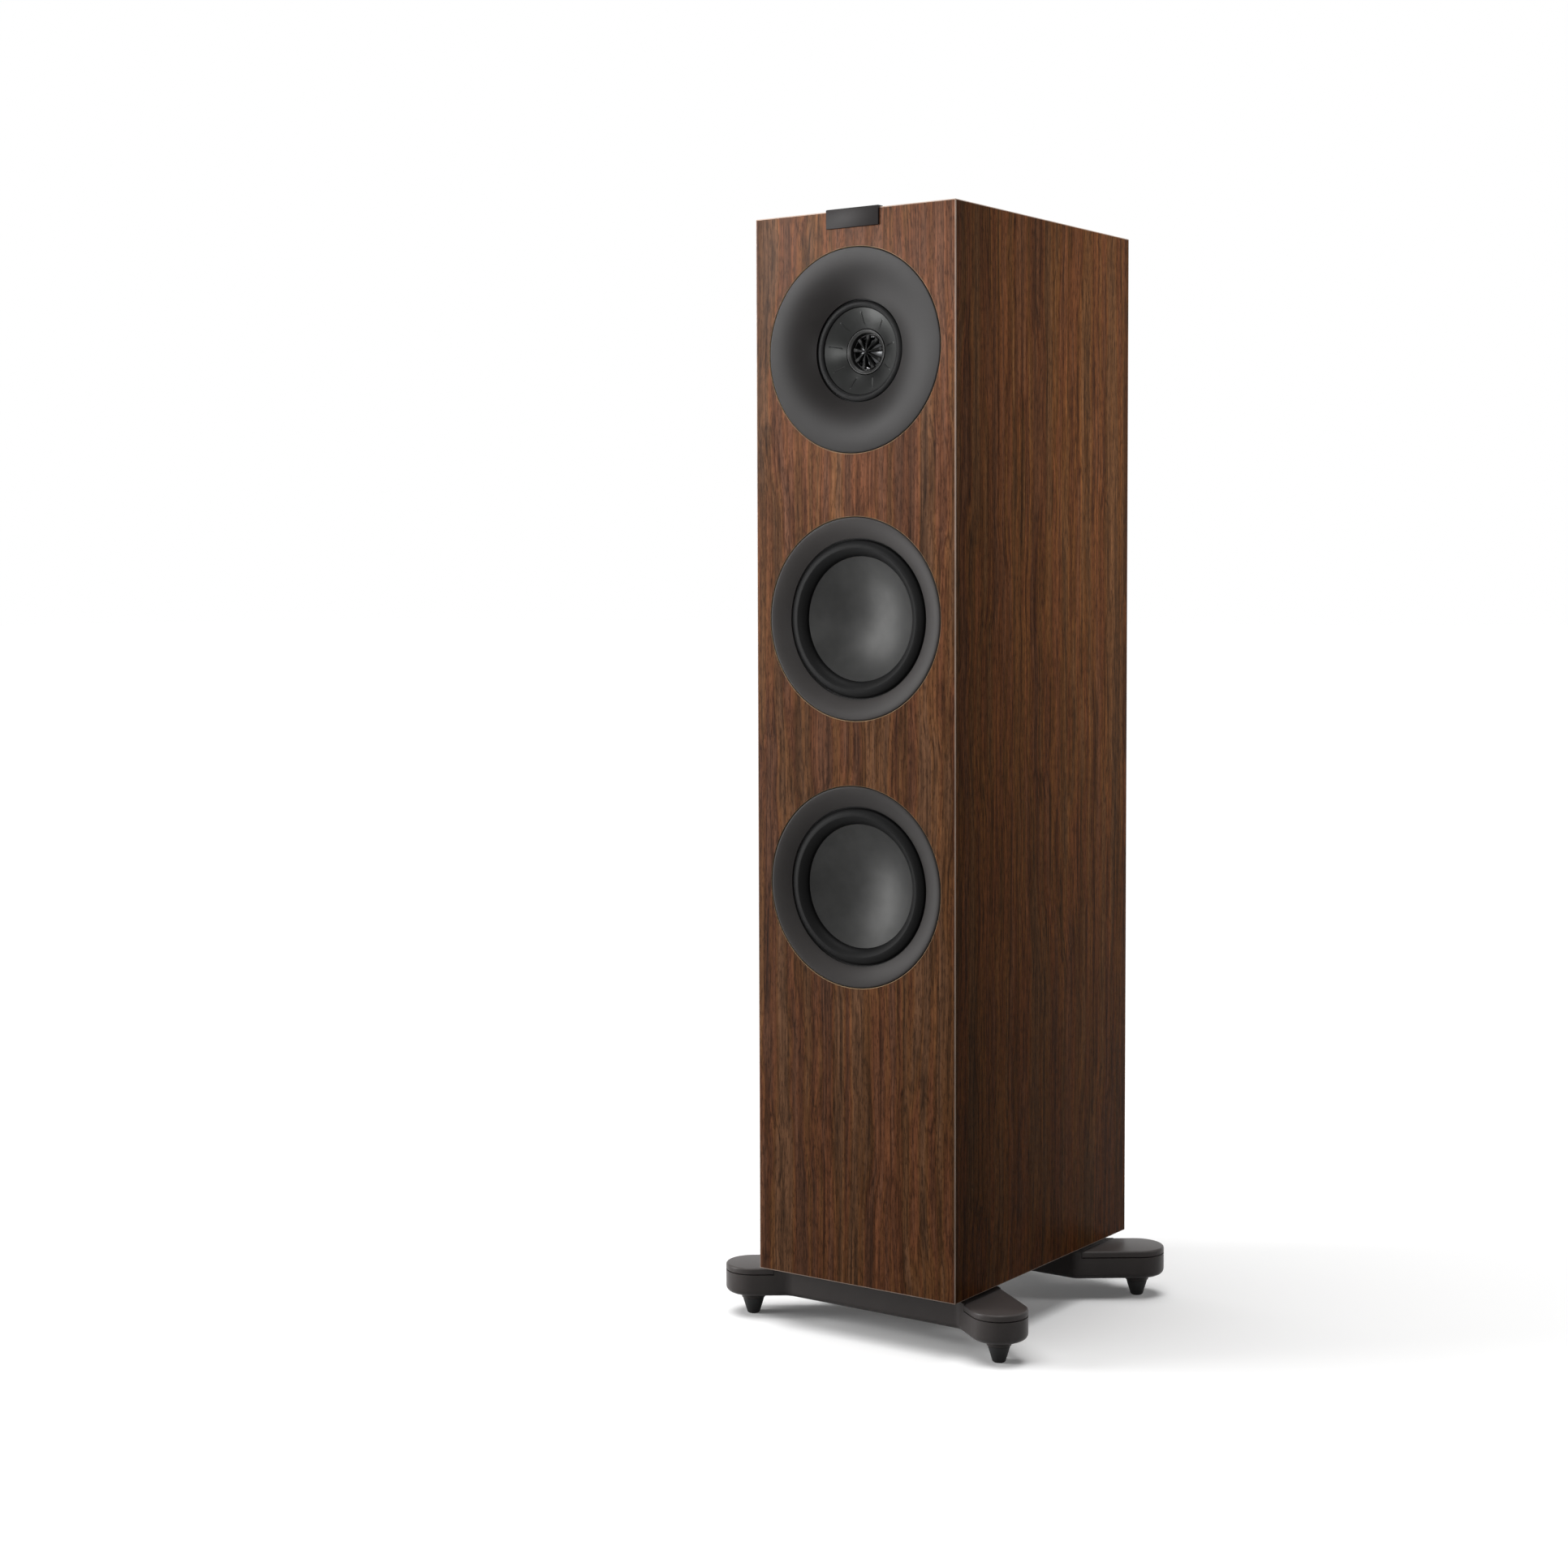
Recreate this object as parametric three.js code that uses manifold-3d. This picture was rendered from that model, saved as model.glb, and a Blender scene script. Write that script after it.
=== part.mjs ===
// Floorstanding three-way loudspeaker: a mitred wooden cabinet on two cast outrigger bars, with a
// coaxial midrange and tweeter driver above two bass drivers.
// Millimetres, +Z up, the baffle faces -Y, the origin is on the floor under the cabinet's centre.
import * as THREE from "three";
import { mergeVertices } from "three/addons/utils/BufferGeometryUtils.js";
import Module from "manifold-3d";

const wasm = await Module();
wasm.setup();

// Cabinet: outside size and wall thicknesses
const cabinetWidth = 210;
const cabinetHeight = 952.6;
const cabinetDepth = 313.8;
const baffleThickness = 22;
const panelThickness = 18;
const floorClearance = 52;

// Clearances between neighbouring pieces, the overrun of every cut, and how close merged points lie
const mitreGap = 0.15;
const seatGap = 0.3;
const overrun = 5;
const mergeTolerance = 1e-3;

// Facets round each kind of round piece, and along each rounded corner
const bassSteps = 24;
const coaxSteps = 36;
const tweeterSteps = 20;
const chassisSteps = 12;
const motorSteps = 10;
const portSteps = 16;
const footSteps = 12;
const smallSteps = 10;
const cornerSegments = 3;

// Heights above the cabinet's underside, worked out from the top down
const coaxDrop = 122;
const coaxToBass = 235.3;
const bassSpacing = 237.4;
const coaxHeight = cabinetHeight - coaxDrop;
const bassUpperHeight = coaxHeight - coaxToBass;
const bassLowerHeight = bassUpperHeight - bassSpacing;
const terminalRiseShare = 0.33;
const terminalHeight = bassLowerHeight * terminalRiseShare;

// Braces, and the shelf under the coaxial driver's own chamber
const brace = { thickness: 18, rail: 24, crossRail: 34, cornerRadius: 14, segments: 1 };

// Badge plate clipped over the top front edge, bare
const badge = { width: 55, height: 15.5, thickness: 2, lipThickness: 1.5, lipReach: 6.2, edge: 0.5 };

// Every driver fills the same circle on the baffle, this far in from the cabinet's sides
const ringInset = 15.1;
const ringRadius = cabinetWidth / 2 - ringInset;

// Trim ring of a bass driver, and trim flare of the coaxial driver; depths are behind the baffle's face
const ring = { width: 18, rim: 0.5, bevelDepth: 6, back: 7.6, surroundGap: 1.5 };
const flare = { depth: 8.8, lip: 1.2, rim: 0.5, wall: 2.4, rimStep: 0.6, rimWall: 3, overhang: 0.3 };
const flarePower = 2.3;

// Sizes that both kinds of driver work out alike, from the chassis inwards
function driverSizes(driver) {
  const ledgeDepth = driver.flangeDepth + driver.ledgeDrop;
  const coilRadius = driver.formerRadius + driver.coilThickness;
  const plateFront = driver.seatDepth + driver.seatThickness + seatGap;
  const plateMiddle = plateFront + driver.frontPlateThickness / 2;
  const coilReach = driver.frontPlateThickness / 2 + driver.travel;
  return {
    ...driver,
    ledgeDepth,
    coilRadius,
    plateFront,
    flangeRadius: ringRadius - driver.flangeInset,
    throatRadius: driver.surroundRadius - driver.ledgeWidth,
    coneRadius: driver.surroundRadius - driver.surroundWidth,
    coneEdgeDepth: ledgeDepth + driver.coneDrop,
    spiderDepth: driver.seatDepth - driver.spiderInset,
    seatHoleRadius: coilRadius + driver.seatHoleGap,
    magnetBore: coilRadius + driver.magnetGap,
    poleRadius: driver.formerRadius - driver.formerWall - driver.poleGap,
    coilStart: plateMiddle - coilReach,
    formerEnd: plateMiddle + coilReach + driver.formerTail,
  };
}

// Bass driver: radii from its axis, depths behind the baffle's face
const bassDesign = {
  steps: bassSteps,
  travel: 5,
  flangeInset: 3.9,
  flangeDepth: ring.back + seatGap,
  flangeThickness: 3,
  ledgeDrop: 1.4,
  ledgeWidth: 3.6,
  wallThickness: 3,
  holeGap: 5.2,
  seatRadius: 41,
  seatDepth: 47,
  seatThickness: 3,
  seatHoleGap: 4.5,
  windowCount: 6,
  windowWidth: 34,
  windowStart: 18,
  windowLength: 20,
  surroundRadius: ringRadius - ring.width - ring.surroundGap,
  surroundWidth: 15.1,
  surroundFlange: 1.8,
  surroundThickness: 0.9,
  rollHeight: 5.2,
  coneDrop: 1.4,
  coneSkin: 1,
  bowlDepth: 15,
  formerRadius: 17,
  formerWall: 0.6,
  formerTail: 0.7,
  coilThickness: 0.5,
  spiderInset: 9,
  spiderThickness: 0.7,
  spiderWave: 1.6,
  frontPlateRadius: 42,
  frontPlateThickness: 6,
  magnetRadius: 45,
  magnetGap: 6.5,
  magnetThickness: 15,
  yokeRadius: 42,
  yokeThickness: 6,
  poleGap: 0.5,
  ventRadius: 5,
};
const bass = driverSizes(bassDesign);

// Coaxial driver: a midrange cone round a finned tweeter, whose former starts at the cone's inner edge
const cone = { innerRadius: 20.5, depth: 8.8, bow: 1.6, formerWall: 0.6 };
const rib = { count: 9, width: 1.3, height: 0.5, sink: 0.5 };
const coaxDesign = {
  steps: coaxSteps,
  travel: 1.5,
  flangeInset: 3.9,
  flangeDepth: flare.depth + flare.lip + flare.rimStep + seatGap,
  flangeThickness: 3,
  ledgeDrop: 1.2,
  ledgeWidth: 3,
  wallThickness: 3,
  wallStep: 3.4,
  holeGap: 11,
  seatRadius: 38,
  seatDepth: 41,
  seatThickness: 3,
  seatHoleGap: 3.5,
  windowCount: 6,
  windowWidth: 20,
  windowStart: 18,
  windowLength: 15,
  surroundRadius: 45.6,
  surroundWidth: 7.6,
  surroundFlange: 1.2,
  surroundThickness: 0.8,
  rollHeight: 1.9,
  coneDrop: -0.9,
  coneSkin: 0.8,
  formerRadius: cone.innerRadius + cone.formerWall,
  formerWall: cone.formerWall,
  formerTail: 0.7,
  coilThickness: 0.4,
  spiderInset: 8,
  spiderThickness: 0.7,
  spiderWave: 1.2,
  frontPlateRadius: 40,
  frontPlateThickness: 6,
  magnetRadius: 43,
  magnetGap: 5.5,
  magnetThickness: 14,
  yokeRadius: 40,
  yokeThickness: 6,
  poleGap: 0.9,
  ventRadius: 6,
};
const coax = driverSizes(coaxDesign);
const coneInnerDepth = coax.coneEdgeDepth + cone.depth;

// Tweeter in the middle of the coaxial driver: its waveguide, dome and motor, one behind the other
const guide = { gap: 0.6, edge: 0.6, lead: 0.4, depth: 4.6, length: 10.4, throatRadius: 16, ringSeat: 1.8 };
guide.radius = cone.innerRadius - guide.gap;
guide.innerRadius = guide.throatRadius - guide.ringSeat;
guide.front = coneInnerDepth - guide.lead;
guide.throatDepth = guide.front + guide.depth;
guide.back = guide.front + guide.length;

const dome = { radius: 12.7, inset: 2.8, height: 3.8, skin: 0.4, formerWall: 0.5, formerGap: 2.8 };
dome.base = guide.throatDepth + dome.inset;

const tweeterCup = { inset: 0.7, length: 9.6, grooveGap: 0.8, grooveDepth: 6 };
tweeterCup.front = guide.back + seatGap;
dome.formerEnd = tweeterCup.front + tweeterCup.grooveDepth - dome.formerGap;

// Phase plug: an outer ring, a middle bud and the fins between them
const plug = { ringGap: 0.4, ringWall: 1.4, ringThickness: 1.2, budRadius: 1.9, budHeight: 1, domeGap: 0.9 };
const fin = { count: 9, rootThickness: 4.5, tipThickness: 0.6, length: 2.4 };
const finTurnShare = 0.75;

// Reflex ports, behind the bass drivers
const port = { boreRadius: 26, wall: 3, length: 120, flareWidth: 12, flareLength: 24, flangeWidth: 5 };
port.flangeThickness = 2;
port.mouthRadius = port.boreRadius + port.flareWidth;
port.flangeRadius = port.mouthRadius + port.flangeWidth;

// Terminal cup with one pair of binding posts
const cup = { recessWidth: 84, recessHeight: 56, recessRadius: 9, recessDepth: 30, wall: 3, flangeWidth: 11 };
cup.flangeThickness = 2;
cup.cornerRadius = 10;
cup.width = cup.recessWidth + 2 * (cup.wall + cup.flangeWidth);
cup.height = cup.recessHeight + 2 * (cup.wall + cup.flangeWidth);
cup.face = cabinetDepth + cup.flangeThickness;
cup.floor = cup.face - cup.recessDepth;

const post = {
  spacing: 38,
  radius: 3,
  tail: 12,
  baseRadius: 6,
  baseHeight: 3,
  tipInset: 3,
  socketRadius: 2,
  socketDepth: 14,
};
const collar = { radius: 6.6, thickness: 2, boreGap: 0.5 };
collar.start = cup.floor + post.baseHeight + 2 * seatGap;
const knob = { radius: 7.6, length: 13, fluteCount: 12, fluteDepth: 0.6 };
knob.start = collar.start + collar.thickness + seatGap;

// Crossover board on the cabinet's floor
const board = {
  width: 120,
  length: 150,
  thickness: 1.6,
  standoffHeight: 8,
  standoffRadius: 4,
  standoffInset: 9,
  setback: 66,
  coilRadius: 19,
  coilHeight: 17,
  coilBore: 7,
  capacitorRadius: 9,
  capacitorLength: 42,
  capacitorSpacing: 40,
  capacitorSink: 0.9,
  resistorWidth: 9,
  resistorLength: 40,
  resistorHeight: 9,
};

// Wiring loom from the crossover to the three drivers
const loom = { radius: 3, sideGap: 10.85, railGap: 24, bendRadius: 26, tagGap: 0.4, holeGap: 2 };
const loomSides = 6;
const loomSteps = 6;

// Wadding behind the coaxial driver
const wadding = { thickness: 42, gap: 0.5 };

// Feet: tapered, on threaded studs that screw into the arms' bosses
const foot = {
  reach: 27.6,
  setback: 28,
  topRadius: 10.1,
  tipRadius: 5.9,
  tipEdge: 0.9,
  bossWidth: 7.1,
  bossRim: 0.8,
  bossDrop: 6,
  bossSegments: 2,
  studRadius: 4,
  studGrip: 12,
  travel: 8,
};
foot.x = cabinetWidth / 2 + foot.reach;
foot.bossRadius = foot.topRadius + foot.bossRim;
foot.bossTopRadius = foot.bossRadius + foot.bossWidth;

// Outrigger bars: a straight middle, an arm splayed towards each foot, and a cap on each arm
const outrigger = {
  setback: 26.6,
  middleWidth: 59.6,
  top: 4.4,
  bottom: 31,
  armWidth: 51,
  splayAngle: THREE.MathUtils.degToRad(36.6),
  bendRadius: 14,
  lowerEdge: 5.2,
  lowerEdgeSegments: 2,
  capThickness: 6.2,
  capInset: 2.4,
  capEdge: 2,
  capEdgeSegments: 2,
  endFlat: 0.25,
  spacerRadius: 13,
  spacerInset: 47,
  boltRecessRadius: 7,
  boltRecessDepth: 16,
};
outrigger.capStart = cabinetWidth / 2 - outrigger.capInset;
outrigger.spacerX = cabinetWidth / 2 - outrigger.spacerInset;

// The shelf and braces stand midway between what lies above and below them
const chamberShelfHeight = (coaxHeight + bassUpperHeight - brace.thickness) / 2;
const upperBraceHeight = (bassUpperHeight + bassLowerHeight - brace.thickness) / 2;
const bassFoot = bassLowerHeight - bass.flangeRadius;
const lowerBraceHeight = (bassFoot + terminalHeight + cup.height / 2 - brace.thickness) / 2;

// Finishes, one function per material
function finish(color, roughness, metalness) {
  return () => new THREE.MeshStandardMaterial({ color, roughness, metalness });
}
const finishes = {
  walnut: finish(0x6b4a33, 0.55, 0),
  board: finish(0x8a6f52, 0.9, 0),
  satinPlastic: finish(0x46413f, 0.45, 0),
  blackPlastic: finish(0x141414, 0.5, 0),
  coneMetal: finish(0x4a4a49, 0.42, 0.55),
  rubber: finish(0x111111, 0.75, 0),
  cloth: finish(0xb08a4a, 0.95, 0),
  domeMetal: finish(0xb9bcbf, 0.25, 1),
  steel: finish(0x9a9c9e, 0.35, 1),
  ferrite: finish(0x2b2b2d, 0.7, 0.1),
  castMetal: finish(0x474240, 0.5, 0.2),
  brass: finish(0xc9a552, 0.3, 1),
  red: finish(0xa01c1c, 0.4, 0),
  circuit: finish(0x2c5a37, 0.6, 0),
  wire: finish(0x1d1d1d, 0.6, 0),
  foam: finish(0xd8d5cc, 1, 0),
};

// Solids: closed geometry in, a solid that can be joined and cut out, and back
function solidOf(geometry) {
  const bare = geometry.clone();
  bare.deleteAttribute("normal");
  bare.deleteAttribute("uv");
  const merged = mergeVertices(bare, mergeTolerance);
  const vertProperties = merged.getAttribute("position").array;
  const triVerts = new Uint32Array(merged.index.array);
  return new wasm.Manifold(new wasm.Mesh({ numProp: 3, vertProperties, triVerts }));
}

function geometryOf(solid) {
  const mesh = solid.getMesh();
  const geometry = new THREE.BufferGeometry();
  geometry.setAttribute("position", new THREE.BufferAttribute(mesh.vertProperties, 3));
  geometry.setIndex(new THREE.BufferAttribute(mesh.triVerts, 1));
  const flat = geometry.toNonIndexed();
  flat.computeVertexNormals();
  return flat;
}

function joined(...geometries) {
  return geometryOf(geometries.map(solidOf).reduce((whole, piece) => whole.add(piece)));
}

function cut(geometry, ...tools) {
  return geometryOf(tools.map(solidOf).reduce((whole, tool) => whole.subtract(tool), solidOf(geometry)));
}

function overlapOf(geometry, other) {
  return geometryOf(solidOf(geometry).intersect(solidOf(other)));
}

function addPiece(parent, name, geometry, material) {
  const mesh = new THREE.Mesh(geometry, material());
  mesh.name = name;
  parent.add(mesh);
  return mesh;
}

function addGroup(parent, x, y, z) {
  const group = new THREE.Group();
  group.position.set(x, y, z);
  parent.add(group);
  return group;
}

// A ring or disc turned about Y from [radius, depth] points, whichever way round they are listed
function revolved(profile, steps) {
  const loop = profile.map(([radius, depth]) => new THREE.Vector2(radius, depth));
  if (THREE.ShapeUtils.area(loop) < 0) {
    loop.reverse();
  }
  const onAxis = loop.findIndex((point, i) => point.x === 0 && loop.at(i - 1).x === 0);
  const start = Math.max(onAxis, 0);
  const ordered = [...loop.slice(start), ...loop.slice(0, start)];
  if (onAxis < 0) {
    ordered.push(loop[0].clone());
  }
  return new THREE.LatheGeometry(ordered, steps);
}

// The same about Z, from [radius, height] points
function revolvedUpright(profile, steps) {
  return revolved(profile, steps).rotateX(Math.PI / 2);
}

// A plain rod along Y between two depths
function rod(radius, from, to, steps) {
  return revolved([[0, from], [radius, from], [radius, to], [0, to]], steps);
}

function tube(outer, inner, from, to, steps) {
  return revolved([[inner, from], [outer, from], [outer, to], [inner, to]], steps);
}

// A box between two corners
function boxBetween(low, high) {
  const size = high.map((value, i) => value - low[i]);
  const centre = high.map((value, i) => (value + low[i]) / 2);
  return new THREE.BoxGeometry(...size).translate(...centre);
}

// Points of an ellipse's arc in the [radius, depth] plane
function arcPoints(centre, radii, from, to, segments) {
  return Array.from({ length: segments + 1 }, (_, i) => {
    const angle = from + ((to - from) * i) / segments;
    return [centre[0] + radii[0] * Math.cos(angle), centre[1] + radii[1] * Math.sin(angle)];
  });
}

// A closed outline whose corners [x, y, radius] are rounded by true arcs, turning left or right
function roundedShape(corners) {
  const points = corners.map(([x, y]) => new THREE.Vector2(x, y));
  const shape = new THREE.Shape();
  corners.forEach(([, , radius], i) => {
    const corner = points[i];
    const back = points.at(i - 1).clone().sub(corner).normalize();
    const ahead = points[(i + 1) % points.length].clone().sub(corner).normalize();
    const halfAngle = Math.acos(back.dot(ahead)) / 2;
    const reach = radius / Math.tan(halfAngle);
    const start = corner.clone().addScaledVector(back, reach);
    const bisector = back.clone().add(ahead).normalize();
    const centre = corner.clone().addScaledVector(bisector, radius / Math.sin(halfAngle));
    const end = corner.clone().addScaledVector(ahead, reach);
    const startAngle = Math.atan2(start.y - centre.y, start.x - centre.x);
    const endAngle = Math.atan2(end.y - centre.y, end.x - centre.x);
    const clockwise = back.cross(ahead) > 0;
    shape.absarc(centre.x, centre.y, radius, startAngle, endAngle, clockwise);
  });
  shape.closePath();
  return shape;
}

// The signs of a rectangle's four corners, anticlockwise
const quadrants = [[-1, -1], [1, -1], [1, 1], [-1, 1]];

function roundedRectangle(width, height, radius) {
  return roundedShape(quadrants.map(([x, y]) => [(x * width) / 2, (y * height) / 2, radius]));
}

// A solid with level sections: one outline at several heights, drawn in at each by an inset
function lofted(shapeAt, levels, curveSegments) {
  const rings = levels.map(([height, inset]) => {
    const plan = shapeAt(inset).getPoints(curveSegments).slice(0, -1);
    return plan.map((point) => new THREE.Vector3(point.x, point.y, height));
  });
  const count = rings[0].length;
  const index = [];
  for (let level = 0; level + 1 < rings.length; level++) {
    for (let i = 0; i < count; i++) {
      const low = level * count;
      const next = (i + 1) % count;
      index.push(low + i, low + next, low + count + next, low + i, low + count + next, low + count + i);
    }
  }
  const plan = (ring) => ring.map((point) => new THREE.Vector2(point.x, point.y));
  const top = (rings.length - 1) * count;
  THREE.ShapeUtils.triangulateShape(plan(rings[0]), []).forEach(([a, b, c]) => index.push(c, b, a));
  THREE.ShapeUtils.triangulateShape(plan(rings.at(-1)), []).forEach(([a, b, c]) =>
    index.push(top + a, top + b, top + c),
  );
  const geometry = new THREE.BufferGeometry().setFromPoints(rings.flat());
  geometry.setIndex(index);
  return geometry;
}

// A flat shape drawn in X and Z, made into a plate between two depths
function uprightPlate(shape, from, to, curveSegments) {
  const geometry = new THREE.ExtrudeGeometry(shape, { depth: to - from, bevelEnabled: false, curveSegments });
  return geometry.rotateX(Math.PI / 2).translate(0, to, 0);
}

// Cabinet walls: each is a slab whose inner face is smaller by its neighbours' thicknesses, so that
// all edges meet in mitres
const outside = [
  [-cabinetWidth / 2, cabinetWidth / 2],
  [0, cabinetDepth],
  [0, cabinetHeight],
];
const walls = [
  [panelThickness, panelThickness],
  [baffleThickness, panelThickness],
  [panelThickness, panelThickness],
];

function mitredPanel(axis, end) {
  const panel = new THREE.BoxGeometry(1, 1, 1);
  const position = panel.getAttribute("position");
  for (let i = 0; i < position.count; i++) {
    const unit = [position.getX(i), position.getY(i), position.getZ(i)];
    const isOuter = (unit[axis] > 0) === (end === 1);
    const point = unit.map((value, k) => {
      const side = k === axis ? end : Number(value > 0);
      const inward = side === 1 ? -1 : 1;
      const gap = k === axis ? 0 : mitreGap;
      const wall = isOuter ? 0 : walls[k][side];
      return outside[k][side] + inward * (gap + wall);
    });
    position.setXYZ(i, ...point);
  }
  return panel;
}

// Cabinet interior, between the inner faces of the walls
const inside = outside.map(([low, high], k) => [low + walls[k][0] + mitreGap, high - walls[k][1] - mitreGap]);

// The rebate that a driver's ring and flange sit in, and the hole for its basket
function driverCutout(driver, height) {
  const rebateDepth = driver.flangeDepth + driver.flangeThickness + seatGap;
  const holeRadius = driver.throatRadius + driver.wallThickness + driver.holeGap;
  const rebate = rod(ringRadius + seatGap, -overrun, rebateDepth, driver.steps);
  const hole = rod(holeRadius, -overrun, baffleThickness + overrun, driver.steps);
  return [rebate, hole].map((geometry) => geometry.translate(0, 0, height));
}

function baffle() {
  return cut(
    mitredPanel(1, 0),
    ...driverCutout(coax, coaxHeight),
    ...driverCutout(bass, bassUpperHeight),
    ...driverCutout(bass, bassLowerHeight),
  );
}

function backPanel() {
  const from = cabinetDepth - panelThickness - overrun;
  const to = cabinetDepth + overrun;
  const portHoles = [bassUpperHeight, bassLowerHeight].map((height) =>
    rod(port.mouthRadius + seatGap, from, to, portSteps).translate(0, 0, height),
  );
  const opening = roundedRectangle(
    cup.recessWidth + 2 * (cup.wall + seatGap),
    cup.recessHeight + 2 * (cup.wall + seatGap),
    cup.recessRadius + cup.wall,
  );
  const cupHole = uprightPlate(opening, from, to, cornerSegments).translate(0, 0, terminalHeight);
  return cut(mitredPanel(1, 1), ...portHoles, cupHole);
}

// A shelf-like plate that fills the cabinet's section, with optional windows or holes
function crossPlate(height, holes) {
  const [[left, right], [front, back]] = inside;
  const shape = new THREE.Shape([
    new THREE.Vector2(left + seatGap, front + seatGap),
    new THREE.Vector2(right - seatGap, front + seatGap),
    new THREE.Vector2(right - seatGap, back - seatGap),
    new THREE.Vector2(left + seatGap, back - seatGap),
  ]);
  shape.holes.push(...holes);
  const settings = { depth: brace.thickness, bevelEnabled: false, curveSegments: cornerSegments };
  return new THREE.ExtrudeGeometry(shape, settings).translate(0, 0, height);
}

const braceWindow = {
  width: inside[0][1] - inside[0][0] - 2 * brace.rail,
  length: (inside[1][1] - inside[1][0] - 2 * brace.rail - brace.crossRail) / 2,
};

function windowBrace(height) {
  const [front, back] = inside[1];
  const reach = brace.rail + braceWindow.length / 2;
  const windows = [front + reach, back - reach].map((y) => {
    const outline = roundedRectangle(braceWindow.width, braceWindow.length, brace.cornerRadius);
    const points = outline.getPoints(brace.segments);
    return new THREE.Path(points.map((point) => new THREE.Vector2(point.x, point.y + y)));
  });
  return crossPlate(height, windows);
}

// The loom's trunk runs up through the braces' rear windows, beside their left rail
const loomX = -braceWindow.width / 2 + loom.sideGap;
const loomY = inside[1][1] - brace.rail - braceWindow.length + loom.railGap;

function chamberShelf() {
  const hole = new THREE.Path().absarc(loomX, loomY, loom.radius + loom.holeGap, 0, 2 * Math.PI, true);
  return crossPlate(chamberShelfHeight, [hole]);
}

function badgePlate() {
  const top = cabinetHeight + badge.lipThickness;
  const low = top - badge.height - badge.lipThickness;
  const outline = new THREE.Shape();
  outline.moveTo(-badge.thickness, low);
  outline.lineTo(-seatGap, low);
  outline.lineTo(-seatGap, cabinetHeight + seatGap);
  outline.lineTo(badge.lipReach, cabinetHeight + seatGap);
  outline.lineTo(badge.lipReach, top);
  outline.lineTo(-badge.thickness + badge.edge, top);
  outline.lineTo(-badge.thickness, top - badge.edge);
  outline.closePath();
  const plate = new THREE.ExtrudeGeometry(outline, { depth: badge.width, bevelEnabled: false });
  // The profile is drawn in depth and height, then laid across the cabinet
  const turn = new THREE.Matrix4().makeBasis(
    new THREE.Vector3(0, 1, 0),
    new THREE.Vector3(0, 0, 1),
    new THREE.Vector3(1, 0, 0),
  );
  return plate.applyMatrix4(turn).translate(-badge.width / 2, 0, 0);
}

function addCabinet(frame) {
  addPiece(frame, "front_baffle", baffle(), finishes.walnut);
  addPiece(frame, "left_side_panel", mitredPanel(0, 0), finishes.walnut);
  addPiece(frame, "right_side_panel", mitredPanel(0, 1), finishes.walnut);
  addPiece(frame, "bottom_panel", mitredPanel(2, 0), finishes.walnut);
  addPiece(frame, "top_panel", mitredPanel(2, 1), finishes.walnut);
  addPiece(frame, "back_panel", backPanel(), finishes.walnut);
  addPiece(frame, "chamber_shelf", chamberShelf(), finishes.board);
  addPiece(frame, "upper_brace", windowBrace(upperBraceHeight), finishes.board);
  addPiece(frame, "lower_brace", windowBrace(lowerBraceHeight), finishes.board);
  addPiece(frame, "badge_plate", badgePlate(), finishes.satinPlastic);
}

// Half-roll surround between a chassis ledge and a cone's edge
const rollFrontSegments = 4;
const rollRearSegments = 2;

function surround(driver) {
  const outer = driver.surroundRadius - driver.surroundFlange;
  const inner = driver.coneRadius + seatGap;
  const thickness = driver.surroundThickness;
  const back = driver.ledgeDepth - seatGap;
  const centre = (outer + inner) / 2;
  const half = (outer - inner) / 2;
  const drop = driver.coneEdgeDepth + driver.coneSkin / 2 - back;
  const lowered = ([radius, depth]) => [radius, depth + Math.max(0, (centre - radius) / half) * drop];
  const frontRadii = [half, -driver.rollHeight];
  const rearRadii = [half - thickness, thickness - driver.rollHeight];
  const front = arcPoints([centre, back - thickness], frontRadii, 0, Math.PI, rollFrontSegments);
  const rear = arcPoints([centre, back], rearRadii, Math.PI, 0, rollRearSegments);
  return revolved(
    [
      [driver.surroundRadius, back],
      [driver.surroundRadius, back - thickness],
      ...front.map(lowered),
      [inner, back + drop],
      ...rear.map(lowered),
    ],
    driver.steps,
  );
}

// The corner radius of a many-sided hole that clears a round piece of this radius
function clearOf(radius, steps) {
  return (radius + seatGap) / Math.cos(Math.PI / steps);
}

// Corrugated spider between a voice coil's former and the sloping chassis wall
function spider(driver) {
  const inner = clearOf(driver.formerRadius, motorSteps);
  const slopeStart = driver.flangeDepth + driver.flangeThickness;
  const slopeShare = (driver.spiderDepth + driver.spiderWave - slopeStart) / (driver.seatDepth - slopeStart);
  const wallRadius = THREE.MathUtils.lerp(driver.throatRadius, driver.seatRadius, slopeShare);
  const outer = wallRadius * Math.cos(Math.PI / chassisSteps) - seatGap;
  const waveShares = [0, 1, -1, 0];
  const front = waveShares.map((share, i) => [
    inner + ((outer - inner) * i) / (waveShares.length - 1),
    driver.spiderDepth + share * driver.spiderWave,
  ]);
  const rear = front.map(([radius, depth]) => [radius, depth + driver.spiderThickness]).reverse();
  return revolved([...front, ...rear], motorSteps);
}

// Chassis windows, evenly round the axis
function windowCutters(driver) {
  return Array.from({ length: driver.windowCount }, (_, i) =>
    boxBetween(
      [-driver.windowWidth / 2, driver.windowStart, 0],
      [driver.windowWidth / 2, driver.windowStart + driver.windowLength, driver.flangeRadius],
    ).rotateY((Math.PI * (2 * i + 1)) / driver.windowCount),
  );
}

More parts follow.
